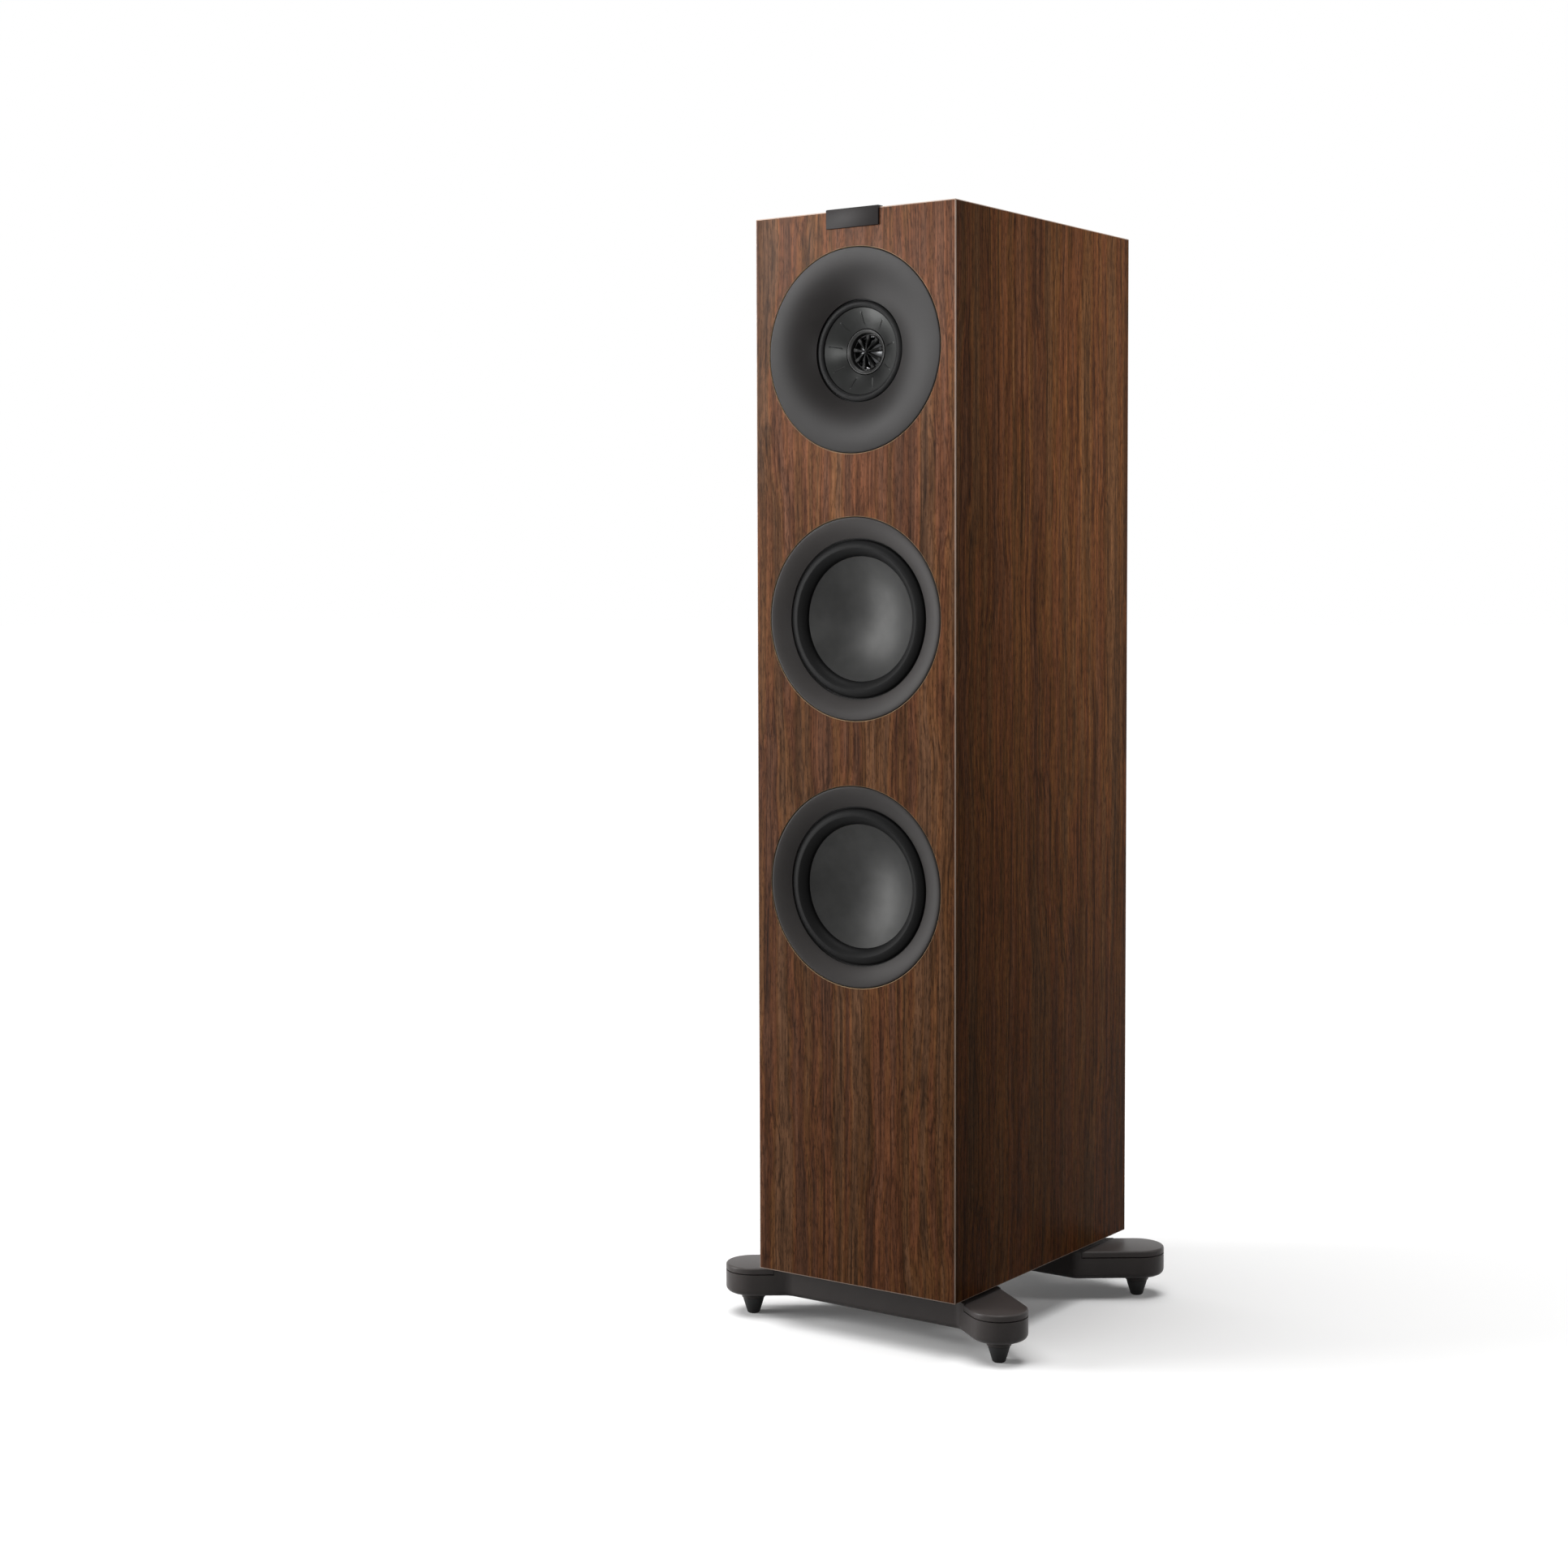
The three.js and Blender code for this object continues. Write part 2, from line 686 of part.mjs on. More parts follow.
// Chassis: a flange with a ledge for the surround, a basket wall with windows, and a seat for the magnet
function chassis(driver, wallOuterRadius) {
  const flangeBack = driver.flangeDepth + driver.flangeThickness;
  const ledgeRadius = clearOf(driver.surroundRadius, chassisSteps);
  const basket = revolved(
    [
      [driver.flangeRadius, driver.flangeDepth],
      [ledgeRadius, driver.flangeDepth],
      [ledgeRadius, driver.ledgeDepth],
      [driver.throatRadius, driver.ledgeDepth],
      [driver.throatRadius, flangeBack],
      [driver.seatRadius, driver.seatDepth],
      [driver.seatHoleRadius, driver.seatDepth],
      [driver.seatHoleRadius, driver.seatDepth + driver.seatThickness],
      [driver.seatRadius + driver.wallThickness, driver.seatDepth + driver.seatThickness],
      [wallOuterRadius, flangeBack],
      [driver.flangeRadius, flangeBack],
    ],
    chassisSteps,
  );
  return cut(basket, ...windowCutters(driver));
}

// Ring magnet, front plate and yoke behind a chassis
function addMotor(group, prefix, driver, poleFront) {
  const plateBack = driver.plateFront + driver.frontPlateThickness;
  const magnetFront = plateBack + seatGap;
  const magnetBack = magnetFront + driver.magnetThickness;
  const yokeFront = magnetBack + seatGap;
  const yokeBack = yokeFront + driver.yokeThickness;
  const plateBore = clearOf(driver.coilRadius, motorSteps);
  const plate = tube(driver.frontPlateRadius, plateBore, driver.plateFront, plateBack, motorSteps);
  const magnet = tube(driver.magnetRadius, driver.magnetBore, magnetFront, magnetBack, motorSteps);
  const yoke = revolved(
    [
      [driver.ventRadius, poleFront],
      [driver.poleRadius, poleFront],
      [driver.poleRadius, yokeFront],
      [driver.yokeRadius, yokeFront],
      [driver.yokeRadius, yokeBack],
      [driver.ventRadius, yokeBack],
    ],
    motorSteps,
  );
  addPiece(group, prefix + "_front_plate", plate, finishes.steel);
  addPiece(group, prefix + "_magnet", magnet, finishes.ferrite);
  addPiece(group, prefix + "_yoke", yoke, finishes.steel);
}

function bassRing() {
  const inner = ringRadius - ring.width;
  return revolved(
    [
      [ringRadius, ring.rim],
      [ringRadius - ring.rim, 0],
      [inner, ring.bevelDepth],
      [inner, ring.back],
      [ringRadius, ring.back],
    ],
    bass.steps,
  );
}

// One-piece concave cone with its voice coil's former behind
function bassCone() {
  const bowl = (radius) => bass.coneEdgeDepth + bass.bowlDepth * (1 - (radius / bass.coneRadius) ** 2);
  const bowlPoint = (share, offset) => [share * bass.coneRadius, bowl(share * bass.coneRadius) + offset];
  const frontShares = [0, 0.3, 0.56, 0.8, 1];
  const rearShares = [1, 0.66];
  const inner = bass.formerRadius - bass.formerWall;
  return revolved(
    [
      ...frontShares.map((share) => bowlPoint(share, 0)),
      ...rearShares.map((share) => bowlPoint(share, bass.coneSkin)),
      [bass.formerRadius, bowl(bass.formerRadius) + bass.coneSkin],
      [bass.formerRadius, bass.coilStart],
      [bass.coilRadius, bass.coilStart],
      [bass.coilRadius, bass.formerEnd],
      [inner, bass.formerEnd],
      [inner, bowl(inner) + bass.coneSkin],
      [0, bowl(0) + bass.coneSkin],
    ],
    bass.steps,
  );
}

function addBassDriver(frame, prefix, height) {
  const group = addGroup(frame, 0, 0, height);
  const wallOuterRadius = bass.throatRadius + bass.wallThickness;
  addPiece(group, prefix + "_trim_ring", bassRing(), finishes.satinPlastic);
  addPiece(group, prefix + "_chassis", chassis(bass, wallOuterRadius), finishes.blackPlastic);
  addPiece(group, prefix + "_surround", surround(bass), finishes.rubber);
  addPiece(group, prefix + "_cone", bassCone(), finishes.coneMetal);
  addPiece(group, prefix + "_spider", spider(bass), finishes.cloth);
  addMotor(group, prefix, bass, bass.seatDepth + bass.seatThickness);
}

// Trumpet-shaped trim flare: nearly flat at its rim, steeper towards the throat
function coaxFlare() {
  const throatRadius = coax.surroundRadius - flare.overhang;
  const facePoint = (share, offset) => [
    THREE.MathUtils.lerp(ringRadius, throatRadius, share),
    flare.depth * share ** flarePower + offset,
  ];
  const frontShares = [0.3, 0.55, 0.78, 1];
  const rearShares = [0.6, 0.12];
  const wallInner = ringRadius - flare.rimWall;
  const rimBack = flare.depth + flare.lip + flare.rimStep;
  return revolved(
    [
      [ringRadius, flare.rim],
      [ringRadius - flare.rim, 0],
      ...frontShares.map((share) => facePoint(share, 0)),
      [throatRadius, flare.depth + flare.lip],
      ...rearShares.map((share) => facePoint(share, flare.wall)),
      [wallInner, flare.wall],
      [wallInner, rimBack],
      [ringRadius, rimBack],
    ],
    coax.steps,
  );
}

// Depth of the midrange cone's front face at a radius
function midrangeFace(radius) {
  const share = (coax.coneRadius - radius) / (coax.coneRadius - cone.innerRadius);
  return coax.coneEdgeDepth + cone.depth * share - cone.bow * Math.sin(Math.PI * share);
}

// The cone's radius at a share of the way from its inner to its outer edge
function coneRadiusAt(share) {
  return THREE.MathUtils.lerp(cone.innerRadius, coax.coneRadius, share);
}

// One shallow rib with a sharp crest, lying along the cone's face on the edge between two facets
function midrangeRib(index) {
  const [innerShare, outerShare] = [0.22, 0.78];
  const inner = coneRadiusAt(innerShare);
  const section = new THREE.Shape([
    new THREE.Vector2(-rib.width / 2, rib.sink),
    new THREE.Vector2(rib.width / 2, rib.sink),
    new THREE.Vector2(0, -rib.height),
  ]);
  const settings = { depth: coneRadiusAt(outerShare) - inner, bevelEnabled: false };
  const geometry = new THREE.ExtrudeGeometry(section, settings);
  const position = geometry.getAttribute("position");
  for (let i = 0; i < position.count; i++) {
    const radius = inner + position.getZ(i);
    position.setXYZ(i, position.getX(i), midrangeFace(radius) + position.getY(i), radius);
  }
  return geometry.rotateY((2 * Math.PI * index) / rib.count);
}

function midrangeCone() {
  const facePoint = (share, offset) => [coneRadiusAt(share), midrangeFace(coneRadiusAt(share)) + offset];
  const frontShares = [0, 0.17, 0.83, 1];
  const rearShares = [1, 0.5];
  const body = revolved(
    [
      ...frontShares.map((share) => facePoint(share, 0)),
      ...rearShares.map((share) => facePoint(share, coax.coneSkin)),
      [coax.formerRadius, midrangeFace(coax.formerRadius) + coax.coneSkin],
      [coax.formerRadius, coax.coilStart],
      [coax.coilRadius, coax.coilStart],
      [coax.coilRadius, coax.formerEnd],
      [cone.innerRadius, coax.formerEnd],
    ],
    coax.steps,
  );
  return joined(body, ...Array.from({ length: rib.count }, (_, i) => midrangeRib(i)));
}

// Fixed waveguide round the tweeter: its outer edge lies flush with the cone
function tweeterGuide() {
  const shoulder = guide.throatDepth + plug.ringThickness + seatGap;
  return revolved(
    [
      [guide.radius, guide.front + guide.edge],
      [guide.radius - guide.edge, guide.front],
      [(guide.radius + guide.throatRadius) / 2, (guide.front + guide.throatDepth) / 2],
      [guide.throatRadius, guide.throatDepth],
      [guide.throatRadius, shoulder],
      [guide.innerRadius, shoulder],
      [guide.innerRadius, guide.back],
      [guide.radius, guide.back],
    ],
    tweeterSteps,
  );
}

// Depth of the dome's front at a radius
function domeFace(radius) {
  return dome.base - dome.height * (1 - (radius / dome.radius) ** 2);
}

function tweeterDome() {
  const facePoint = (radius, offset) => [radius, domeFace(radius) + offset];
  const inner = dome.radius - dome.formerWall;
  const frontShares = [0, 0.4, 0.75, 1];
  return revolved(
    [
      ...frontShares.map((share) => facePoint(share * dome.radius, 0)),
      [dome.radius, dome.formerEnd],
      [inner, dome.formerEnd],
      ...[inner, dome.radius / 2, 0].map((radius) => facePoint(radius, dome.skin)),
    ],
    tweeterSteps,
  );
}

// One fin, from the axis out to the ring, thicker at the ring; its back follows the dome
function plugFin(index, reach, ringBack) {
  const stationShares = [0, 0.55, 1];
  const backs = stationShares.map((share) => {
    const radius = share * reach;
    return new THREE.Vector2(radius, Math.min(domeFace(radius) - plug.domeGap, ringBack));
  });
  const fronts = backs.map((point) => new THREE.Vector2(point.x, point.y - fin.length));
  const outline = new THREE.Shape([...fronts, ...backs.reverse()]);
  const geometry = new THREE.ExtrudeGeometry(outline, { depth: 1, bevelEnabled: false });
  geometry.translate(0, 0, -1 / 2);
  const position = geometry.getAttribute("position");
  for (let i = 0; i < position.count; i++) {
    const share = position.getX(i) / reach;
    const thickness = THREE.MathUtils.lerp(fin.tipThickness, fin.rootThickness, share);
    position.setZ(i, position.getZ(i) * thickness);
  }
  return geometry.rotateY((2 * Math.PI * (index + finTurnShare)) / fin.count);
}

// Phase plug: thin radial fins that follow the dome, joined by a ring outside and a bud inside
function phasePlug() {
  const ringFront = guide.throatDepth;
  const ringBack = ringFront + plug.ringThickness;
  const ringOuter = guide.throatRadius - plug.ringGap;
  const outerRing = tube(ringOuter, ringOuter - plug.ringWall, ringFront, ringBack, 2 * fin.count);
  const budBack = domeFace(0) - plug.domeGap;
  const bud = revolved(
    [
      [0, budBack - fin.length - plug.budHeight],
      [plug.budRadius, budBack - fin.length],
      [plug.budRadius, budBack],
      [0, budBack],
    ],
    fin.count,
  );
  const reach = ringOuter - plug.ringWall / 2;
  const fins = Array.from({ length: fin.count }, (_, index) => plugFin(index, reach, ringBack));
  return joined(outerRing, bud, ...fins);
}

// Tweeter motor: a short cup with an annular groove for the dome's coil
function tweeterMotor() {
  const { front, grooveDepth, grooveGap } = tweeterCup;
  const outer = guide.radius - tweeterCup.inset;
  const grooveInner = dome.radius - dome.formerWall - grooveGap;
  const grooveOuter = dome.radius + grooveGap;
  const back = front + tweeterCup.length;
  return revolved(
    [
      [0, front],
      [grooveInner, front],
      [grooveInner, front + grooveDepth],
      [grooveOuter, front + grooveDepth],
      [grooveOuter, front],
      [outer, front],
      [outer, back],
      [0, back],
    ],
    motorSteps,
  );
}

function addCoaxDriver(frame) {
  const group = addGroup(frame, 0, 0, coaxHeight);
  const wallOuterRadius = coax.throatRadius + coax.wallStep + coax.wallThickness;
  addPiece(group, "coax_trim_flare", coaxFlare(), finishes.satinPlastic);
  addPiece(group, "coax_chassis", chassis(coax, wallOuterRadius), finishes.blackPlastic);
  addPiece(group, "midrange_surround", surround(coax), finishes.rubber);
  addPiece(group, "midrange_cone", midrangeCone(), finishes.coneMetal);
  addPiece(group, "midrange_spider", spider(coax), finishes.cloth);
  addPiece(group, "tweeter_waveguide", tweeterGuide(), finishes.satinPlastic);
  addPiece(group, "tweeter_dome", tweeterDome(), finishes.domeMetal);
  addPiece(group, "phase_plug", phasePlug(), finishes.blackPlastic);
  addPiece(group, "tweeter_motor", tweeterMotor(), finishes.steel);
  addMotor(group, "midrange", coax, tweeterCup.front + tweeterCup.length + seatGap);
}

// Reflex port: a tube with a flared mouth and a flange on the back panel
const mouthSegments = 3;

function portTube() {
  const face = cabinetDepth + port.flangeThickness;
  const inner = face - port.length;
  const flare = arcPoints(
    [port.mouthRadius, face - port.flareLength],
    [port.boreRadius - port.mouthRadius, port.flareLength],
    0,
    Math.PI / 2,
    mouthSegments,
  );
  return revolved(
    [
      [port.boreRadius, inner],
      ...flare,
      [port.flangeRadius, face],
      [port.flangeRadius, cabinetDepth + seatGap],
      [port.mouthRadius, cabinetDepth + seatGap],
      [port.boreRadius + port.wall, face - port.flareLength],
      [port.boreRadius + port.wall, inner],
    ],
    portSteps,
  );
}

function addPorts(frame) {
  addPiece(addGroup(frame, 0, 0, bassUpperHeight), "upper_port_tube", portTube(), finishes.blackPlastic);
  addPiece(addGroup(frame, 0, 0, bassLowerHeight), "lower_port_tube", portTube(), finishes.blackPlastic);
}

// Terminal cup: a flange on the back panel round a recess with a floor
function terminalCup() {
  const shellWidth = cup.recessWidth + 2 * cup.wall;
  const shellHeight = cup.recessHeight + 2 * cup.wall;
  const flangeOutline = roundedRectangle(cup.width, cup.height, cup.cornerRadius);
  const shellOutline = roundedRectangle(shellWidth, shellHeight, cup.recessRadius + cup.wall);
  const recessOutline = roundedRectangle(cup.recessWidth, cup.recessHeight, cup.recessRadius);
  const flange = uprightPlate(flangeOutline, cabinetDepth + seatGap, cup.face, cornerSegments);
  const shell = uprightPlate(shellOutline, cup.floor - cup.wall, cup.face, cornerSegments);
  const recess = uprightPlate(recessOutline, cup.floor, cup.face + overrun, cornerSegments);
  const holeBack = cup.floor - cup.wall - overrun;
  const holes = [-1, 1].map((side) => {
    const hole = rod(post.radius + seatGap, holeBack, cup.floor + overrun, smallSteps);
    return hole.translate((side * post.spacing) / 2, 0, 0);
  });
  return cut(joined(flange, shell), recess, ...holes);
}

function bindingPost() {
  const base = cup.floor + seatGap;
  const tip = cup.face - post.tipInset;
  const tail = cup.floor - cup.wall - post.tail;
  return revolved(
    [
      [0, tail],
      [post.radius, tail],
      [post.radius, base],
      [post.baseRadius, base],
      [post.baseRadius, base + post.baseHeight],
      [post.radius, base + post.baseHeight],
      [post.radius, tip],
      [post.socketRadius, tip],
      [post.socketRadius, tip - post.socketDepth],
      [0, tip - post.socketDepth],
    ],
    smallSteps,
  );
}

const collarBore = post.radius + collar.boreGap;

function clampCollar() {
  return tube(collar.radius, collarBore, collar.start, collar.start + collar.thickness, smallSteps);
}

// Fluted knob with an open bore for the post
function bindingKnob() {
  const points = 2 * knob.fluteCount;
  const outline = new THREE.Shape(
    Array.from({ length: points }, (_, i) => {
      const angle = (2 * Math.PI * i) / points;
      const radius = knob.radius - (knob.fluteDepth * (1 - Math.cos(knob.fluteCount * angle))) / 2;
      return new THREE.Vector2(radius * Math.cos(angle), radius * Math.sin(angle));
    }),
  );
  outline.holes.push(new THREE.Path().absarc(0, 0, collarBore, 0, 2 * Math.PI, true));
  return uprightPlate(outline, knob.start, knob.start + knob.length, smallSteps / 2);
}

function addTerminals(frame) {
  const group = addGroup(frame, 0, 0, terminalHeight);
  addPiece(group, "terminal_cup", terminalCup(), finishes.blackPlastic);
  [
    [-1, "positive", finishes.red],
    [1, "negative", finishes.blackPlastic],
  ].forEach(([side, label, knobFinish]) => {
    const place = addGroup(group, (side * post.spacing) / 2, 0, 0);
    addPiece(place, label + "_binding_post", bindingPost(), finishes.brass);
    addPiece(place, label + "_clamp_collar", clampCollar(), finishes.brass);
    addPiece(place, label + "_knob", bindingKnob(), knobFinish);
  });
}

// Crossover: a board on four standoffs with two air-cored coils, three capacitors and a resistor
function crossoverBoard() {
  const underside = board.standoffHeight;
  const top = underside + board.thickness;
  const across = board.width / 2;
  const along = board.length / 2;
  const plate = boxBetween([-across, -along, underside], [across, along, top]);
  const standoffs = quadrants.map(([x, y]) =>
    revolvedUpright(
      [[0, 0], [board.standoffRadius, 0], [board.standoffRadius, top], [0, top]],
      smallSteps / 2,
    ).translate(x * (across - board.standoffInset), y * (along - board.standoffInset), 0),
  );
  const coils = [-1, 1].map((side) =>
    revolvedUpright(
      [
        [board.coilBore, underside],
        [board.coilRadius, underside],
        [board.coilRadius, top + board.coilHeight],
        [board.coilBore, top + board.coilHeight],
      ],
      smallSteps,
    ).translate((side * across) / 2, along / 2, 0),
  );
  const halfCapacitor = board.capacitorLength / 2;
  const capacitorHeight = top + board.capacitorRadius - board.capacitorSink;
  const capacitors = [-1, 0, 1].map((place) => {
    const capacitor = rod(board.capacitorRadius, -halfCapacitor, halfCapacitor, smallSteps);
    return capacitor.translate(place * board.capacitorSpacing, -along / 2, capacitorHeight);
  });
  const resistor = boxBetween(
    [-board.resistorLength / 2, -board.resistorWidth / 2, underside],
    [board.resistorLength / 2, board.resistorWidth / 2, top + board.resistorHeight],
  );
  return joined(plate, ...standoffs, ...coils, ...capacitors, resistor);
}

const boardMiddle = cabinetDepth - panelThickness - board.setback - board.length / 2;
const boardFloor = panelThickness + seatGap;

// Wiring loom: a trunk up the cabinet with a branch to each bass driver, ending at the coaxial driver
function wiringLoom() {
  const section = new THREE.Shape(
    Array.from({ length: loomSides }, (_, i) => {
      const angle = (Math.PI * (2 * i + 1)) / loomSides;
      return new THREE.Vector2(loom.radius * Math.cos(angle), loom.radius * Math.sin(angle));
    }),
  );
  const run = (points) =>
    new THREE.ExtrudeGeometry(section, {
      extrudePath: new THREE.CatmullRomCurve3(points, false, "centripetal"),
      steps: loomSteps,
      bevelEnabled: false,
    });
  const low = boardFloor + board.standoffHeight + board.thickness + loom.tagGap;
  const startX = Math.max(loomX, loom.radius - board.width / 2);
  const start = new THREE.Vector3(startX, loomY, low);
  const knee = new THREE.Vector3(loomX, loomY, low + loom.bendRadius);
  const middle = new THREE.Vector3(loomX, loomY, (low + coaxHeight) / 2);
  const branch = (height, driver) => {
    const widest = Math.max(driver.seatRadius + driver.wallThickness, driver.magnetRadius);
    const radius = widest + loom.radius + seatGap;
    const depth = driver.seatDepth + driver.seatThickness;
    return [
      new THREE.Vector3(loomX, loomY, height - loom.bendRadius),
      new THREE.Vector3(loomX, loomY - loom.bendRadius, height),
      new THREE.Vector3(-radius, depth + 2 * loom.bendRadius, height),
      new THREE.Vector3(-radius, depth, height),
    ];
  };
  const top = new THREE.Vector3(loomX, loomY, coaxHeight - loom.bendRadius);
  return joined(
    run([start, knee, middle, top]),
    run(branch(bassLowerHeight, bass)),
    run(branch(bassUpperHeight, bass)),
    run(branch(coaxHeight, coax)),
  );
}

function addInside(frame) {
  const place = addGroup(frame, 0, boardMiddle, boardFloor);
  addPiece(place, "crossover_board", crossoverBoard(), finishes.circuit);
  addPiece(frame, "wiring_loom", wiringLoom(), finishes.wire);
  const [[left, right], [, back], [, top]] = inside;
  const shelfTop = chamberShelfHeight + brace.thickness;
  const pad = boxBetween(
    [left + wadding.gap, back - wadding.thickness, shelfTop + seatGap],
    [right - wadding.gap, back - seatGap, top - wadding.gap],
  );
  addPiece(frame, "chamber_wadding", pad, finishes.foam);
}

// Outrigger bars: directions along and across the right arm, and the place of its foot, in plan
const armAlong = new THREE.Vector2(Math.cos(outrigger.splayAngle), -Math.sin(outrigger.splayAngle));
const armAcross = new THREE.Vector2(-armAlong.y, armAlong.x);
const footPlace = new THREE.Vector2(foot.x, foot.setback);

// Where the edge of an arm, to one side of the foot's axis, meets a face of the bar's middle
function armBend(side, halfWidth, faceY) {
  const edge = footPlace.clone().addScaledVector(armAcross, side * halfWidth);
  const along = (faceY - edge.y) / armAlong.y;
  return edge.addScaledVector(armAlong, along);
}

function armCorner(side, halfWidth) {
  return footPlace.clone().addScaledVector(armAcross, side * halfWidth).addScaledVector(armAlong, halfWidth);
}

// The bar's plan, drawn in by an inset: the front face, the right arm, the inner face, the left arm
function outriggerShape(inset) {
  const half = outrigger.armWidth / 2 - inset;
  const front = outrigger.setback + inset;
  const back = outrigger.setback + outrigger.middleWidth - inset;
  const endRadius = half - outrigger.endFlat;
  const rightSide = [
    [armBend(-1, half, front), outrigger.bendRadius + inset],
    [armCorner(-1, half), endRadius],
    [armCorner(1, half), endRadius],
    [armBend(1, half, back), outrigger.bendRadius - inset],
  ].map(([corner, radius]) => [corner.x, corner.y, radius]);
  const leftSide = [...rightSide].reverse().map(([x, y, radius]) => [-x, y, radius]);
  return roundedShape([...rightSide, ...leftSide]);
}

// Levels [height, inset] of a rounded edge, from the flat face at its end to the upright side
function edgeLevels(faceHeight, edge, segments) {
  return arcPoints([0, 0], [1, 1], 0, Math.PI / 2, segments).map(([across, up]) => [
    faceHeight + edge * (1 - across),
    Math.abs(edge) * (1 - up),
  ]);
}

const capTop = -outrigger.top;
const capBottom = capTop - outrigger.capThickness;

// Everything beyond the line where a cap starts, on one side and between two heights
function armSpace(side, start, low, high) {
  const reach = cabinetWidth;
  const ends = [side * start, side * reach].sort((a, b) => a - b);
  return boxBetween([ends[0], -reach, low], [ends[1], reach, high]);
}

// A rod under the bar, upright between two heights
function uprightRod(radius, low, high, steps) {
  return revolvedUpright([[0, low], [radius, low], [radius, high], [0, high]], steps);
}

const bossBottom = -outrigger.bottom - foot.bossDrop;

// Boss under the end of an arm, with a hollow fillet up to the bar
function footBoss() {
  const centre = [foot.bossTopRadius, bossBottom];
  const fillet = arcPoints(centre, [-foot.bossWidth, foot.bossDrop], 0, Math.PI / 2, foot.bossSegments);
  const top = outrigger.lowerEdge - outrigger.bottom;
  return revolvedUpright([[0, bossBottom], ...fillet, [foot.bossTopRadius, top], [0, top]], footSteps);
}

function outriggerBar() {
  const { bottom, lowerEdge, lowerEdgeSegments, middleWidth, setback, spacerX } = outrigger;
  const middle = setback + middleWidth / 2;
  const lowerLevels = edgeLevels(-bottom, lowerEdge, lowerEdgeSegments);
  const block = lofted(outriggerShape, [...lowerLevels, [capTop, 0]], cornerSegments);
  const studBore = clearOf(foot.studRadius, smallSteps);
  const recessTop = outrigger.boltRecessDepth - bottom;
  const onBothSides = (make) => [-1, 1].map((side) => make(side));
  const capPockets = onBothSides((side) =>
    armSpace(side, outrigger.capStart - seatGap, capBottom - seatGap, capTop + overrun),
  );
  const bosses = onBothSides((side) => footBoss().translate(side * foot.x, foot.setback, 0));
  const studBores = onBothSides((side) =>
    uprightRod(studBore, bossBottom - overrun, 0, smallSteps).translate(side * foot.x, foot.setback, 0),
  );
  const spacers = onBothSides((side) =>
    uprightRod(outrigger.spacerRadius, capTop - overrun, -seatGap, smallSteps)
      .translate(side * spacerX, middle, 0),
  );
  const recesses = onBothSides((side) =>
    uprightRod(outrigger.boltRecessRadius, -bottom - overrun, recessTop, smallSteps)
      .translate(side * spacerX, middle, 0),
  );
  const shaped = cut(block, ...capPockets);
  return cut(joined(shaped, ...bosses, ...spacers), ...studBores, ...recesses);
}

function armCap(side) {
  const upperLevels = edgeLevels(capTop, -outrigger.capEdge, outrigger.capEdgeSegments).reverse();
  const block = lofted(outriggerShape, [[capBottom - overrun, 0], ...upperLevels], cornerSegments);
  return overlapOf(block, armSpace(side, outrigger.capStart, capBottom, overrun));
}

function footPiece() {
  const top = bossBottom - seatGap;
  const studTop = top + foot.studGrip + foot.travel;
  return revolvedUpright(
    [
      [0, -floorClearance],
      [foot.tipRadius - foot.tipEdge, -floorClearance],
      [foot.tipRadius, foot.tipEdge - floorClearance],
      [foot.topRadius, top],
      [foot.studRadius, top],
      [foot.studRadius, studTop],
      [0, studTop],
    ],
    footSteps,
  );
}

// The rear bar is the front one turned half round
function addPlinth(frame) {
  [
    ["front", 0],
    ["rear", Math.PI],
  ].forEach(([label, turn]) => {
    const holder = addGroup(frame, 0, turn ? cabinetDepth : 0, 0);
    holder.rotation.z = turn;
    addPiece(holder, label + "_outrigger", outriggerBar(), finishes.castMetal);
    [-1, 1].forEach((side) => {
      const isLeft = turn ? side > 0 : side < 0;
      const place = label + (isLeft ? "_left" : "_right");
      addPiece(holder, place + "_arm_cap", armCap(side), finishes.castMetal);
      const footHolder = addGroup(holder, side * foot.x, foot.setback, 0);
      addPiece(footHolder, place + "_foot", footPiece(), finishes.rubber);
    });
  });
}

// The whole speaker, lifted so that the feet's tips stand at height zero
const speaker = new THREE.Group();
const frame = addGroup(speaker, 0, -cabinetDepth / 2, floorClearance);
addCabinet(frame);
addCoaxDriver(frame);
addBassDriver(frame, "upper_bass", bassUpperHeight);
addBassDriver(frame, "lower_bass", bassLowerHeight);
addPorts(frame);
addTerminals(frame);
addInside(frame);
addPlinth(frame);

export default speaker;
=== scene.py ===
"""Looks of a floorstanding loudspeaker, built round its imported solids."""
from math import atan2, copysign, cos, pi, radians, sin, tan

import bmesh
import bpy
from mathutils import Matrix, Vector, noise


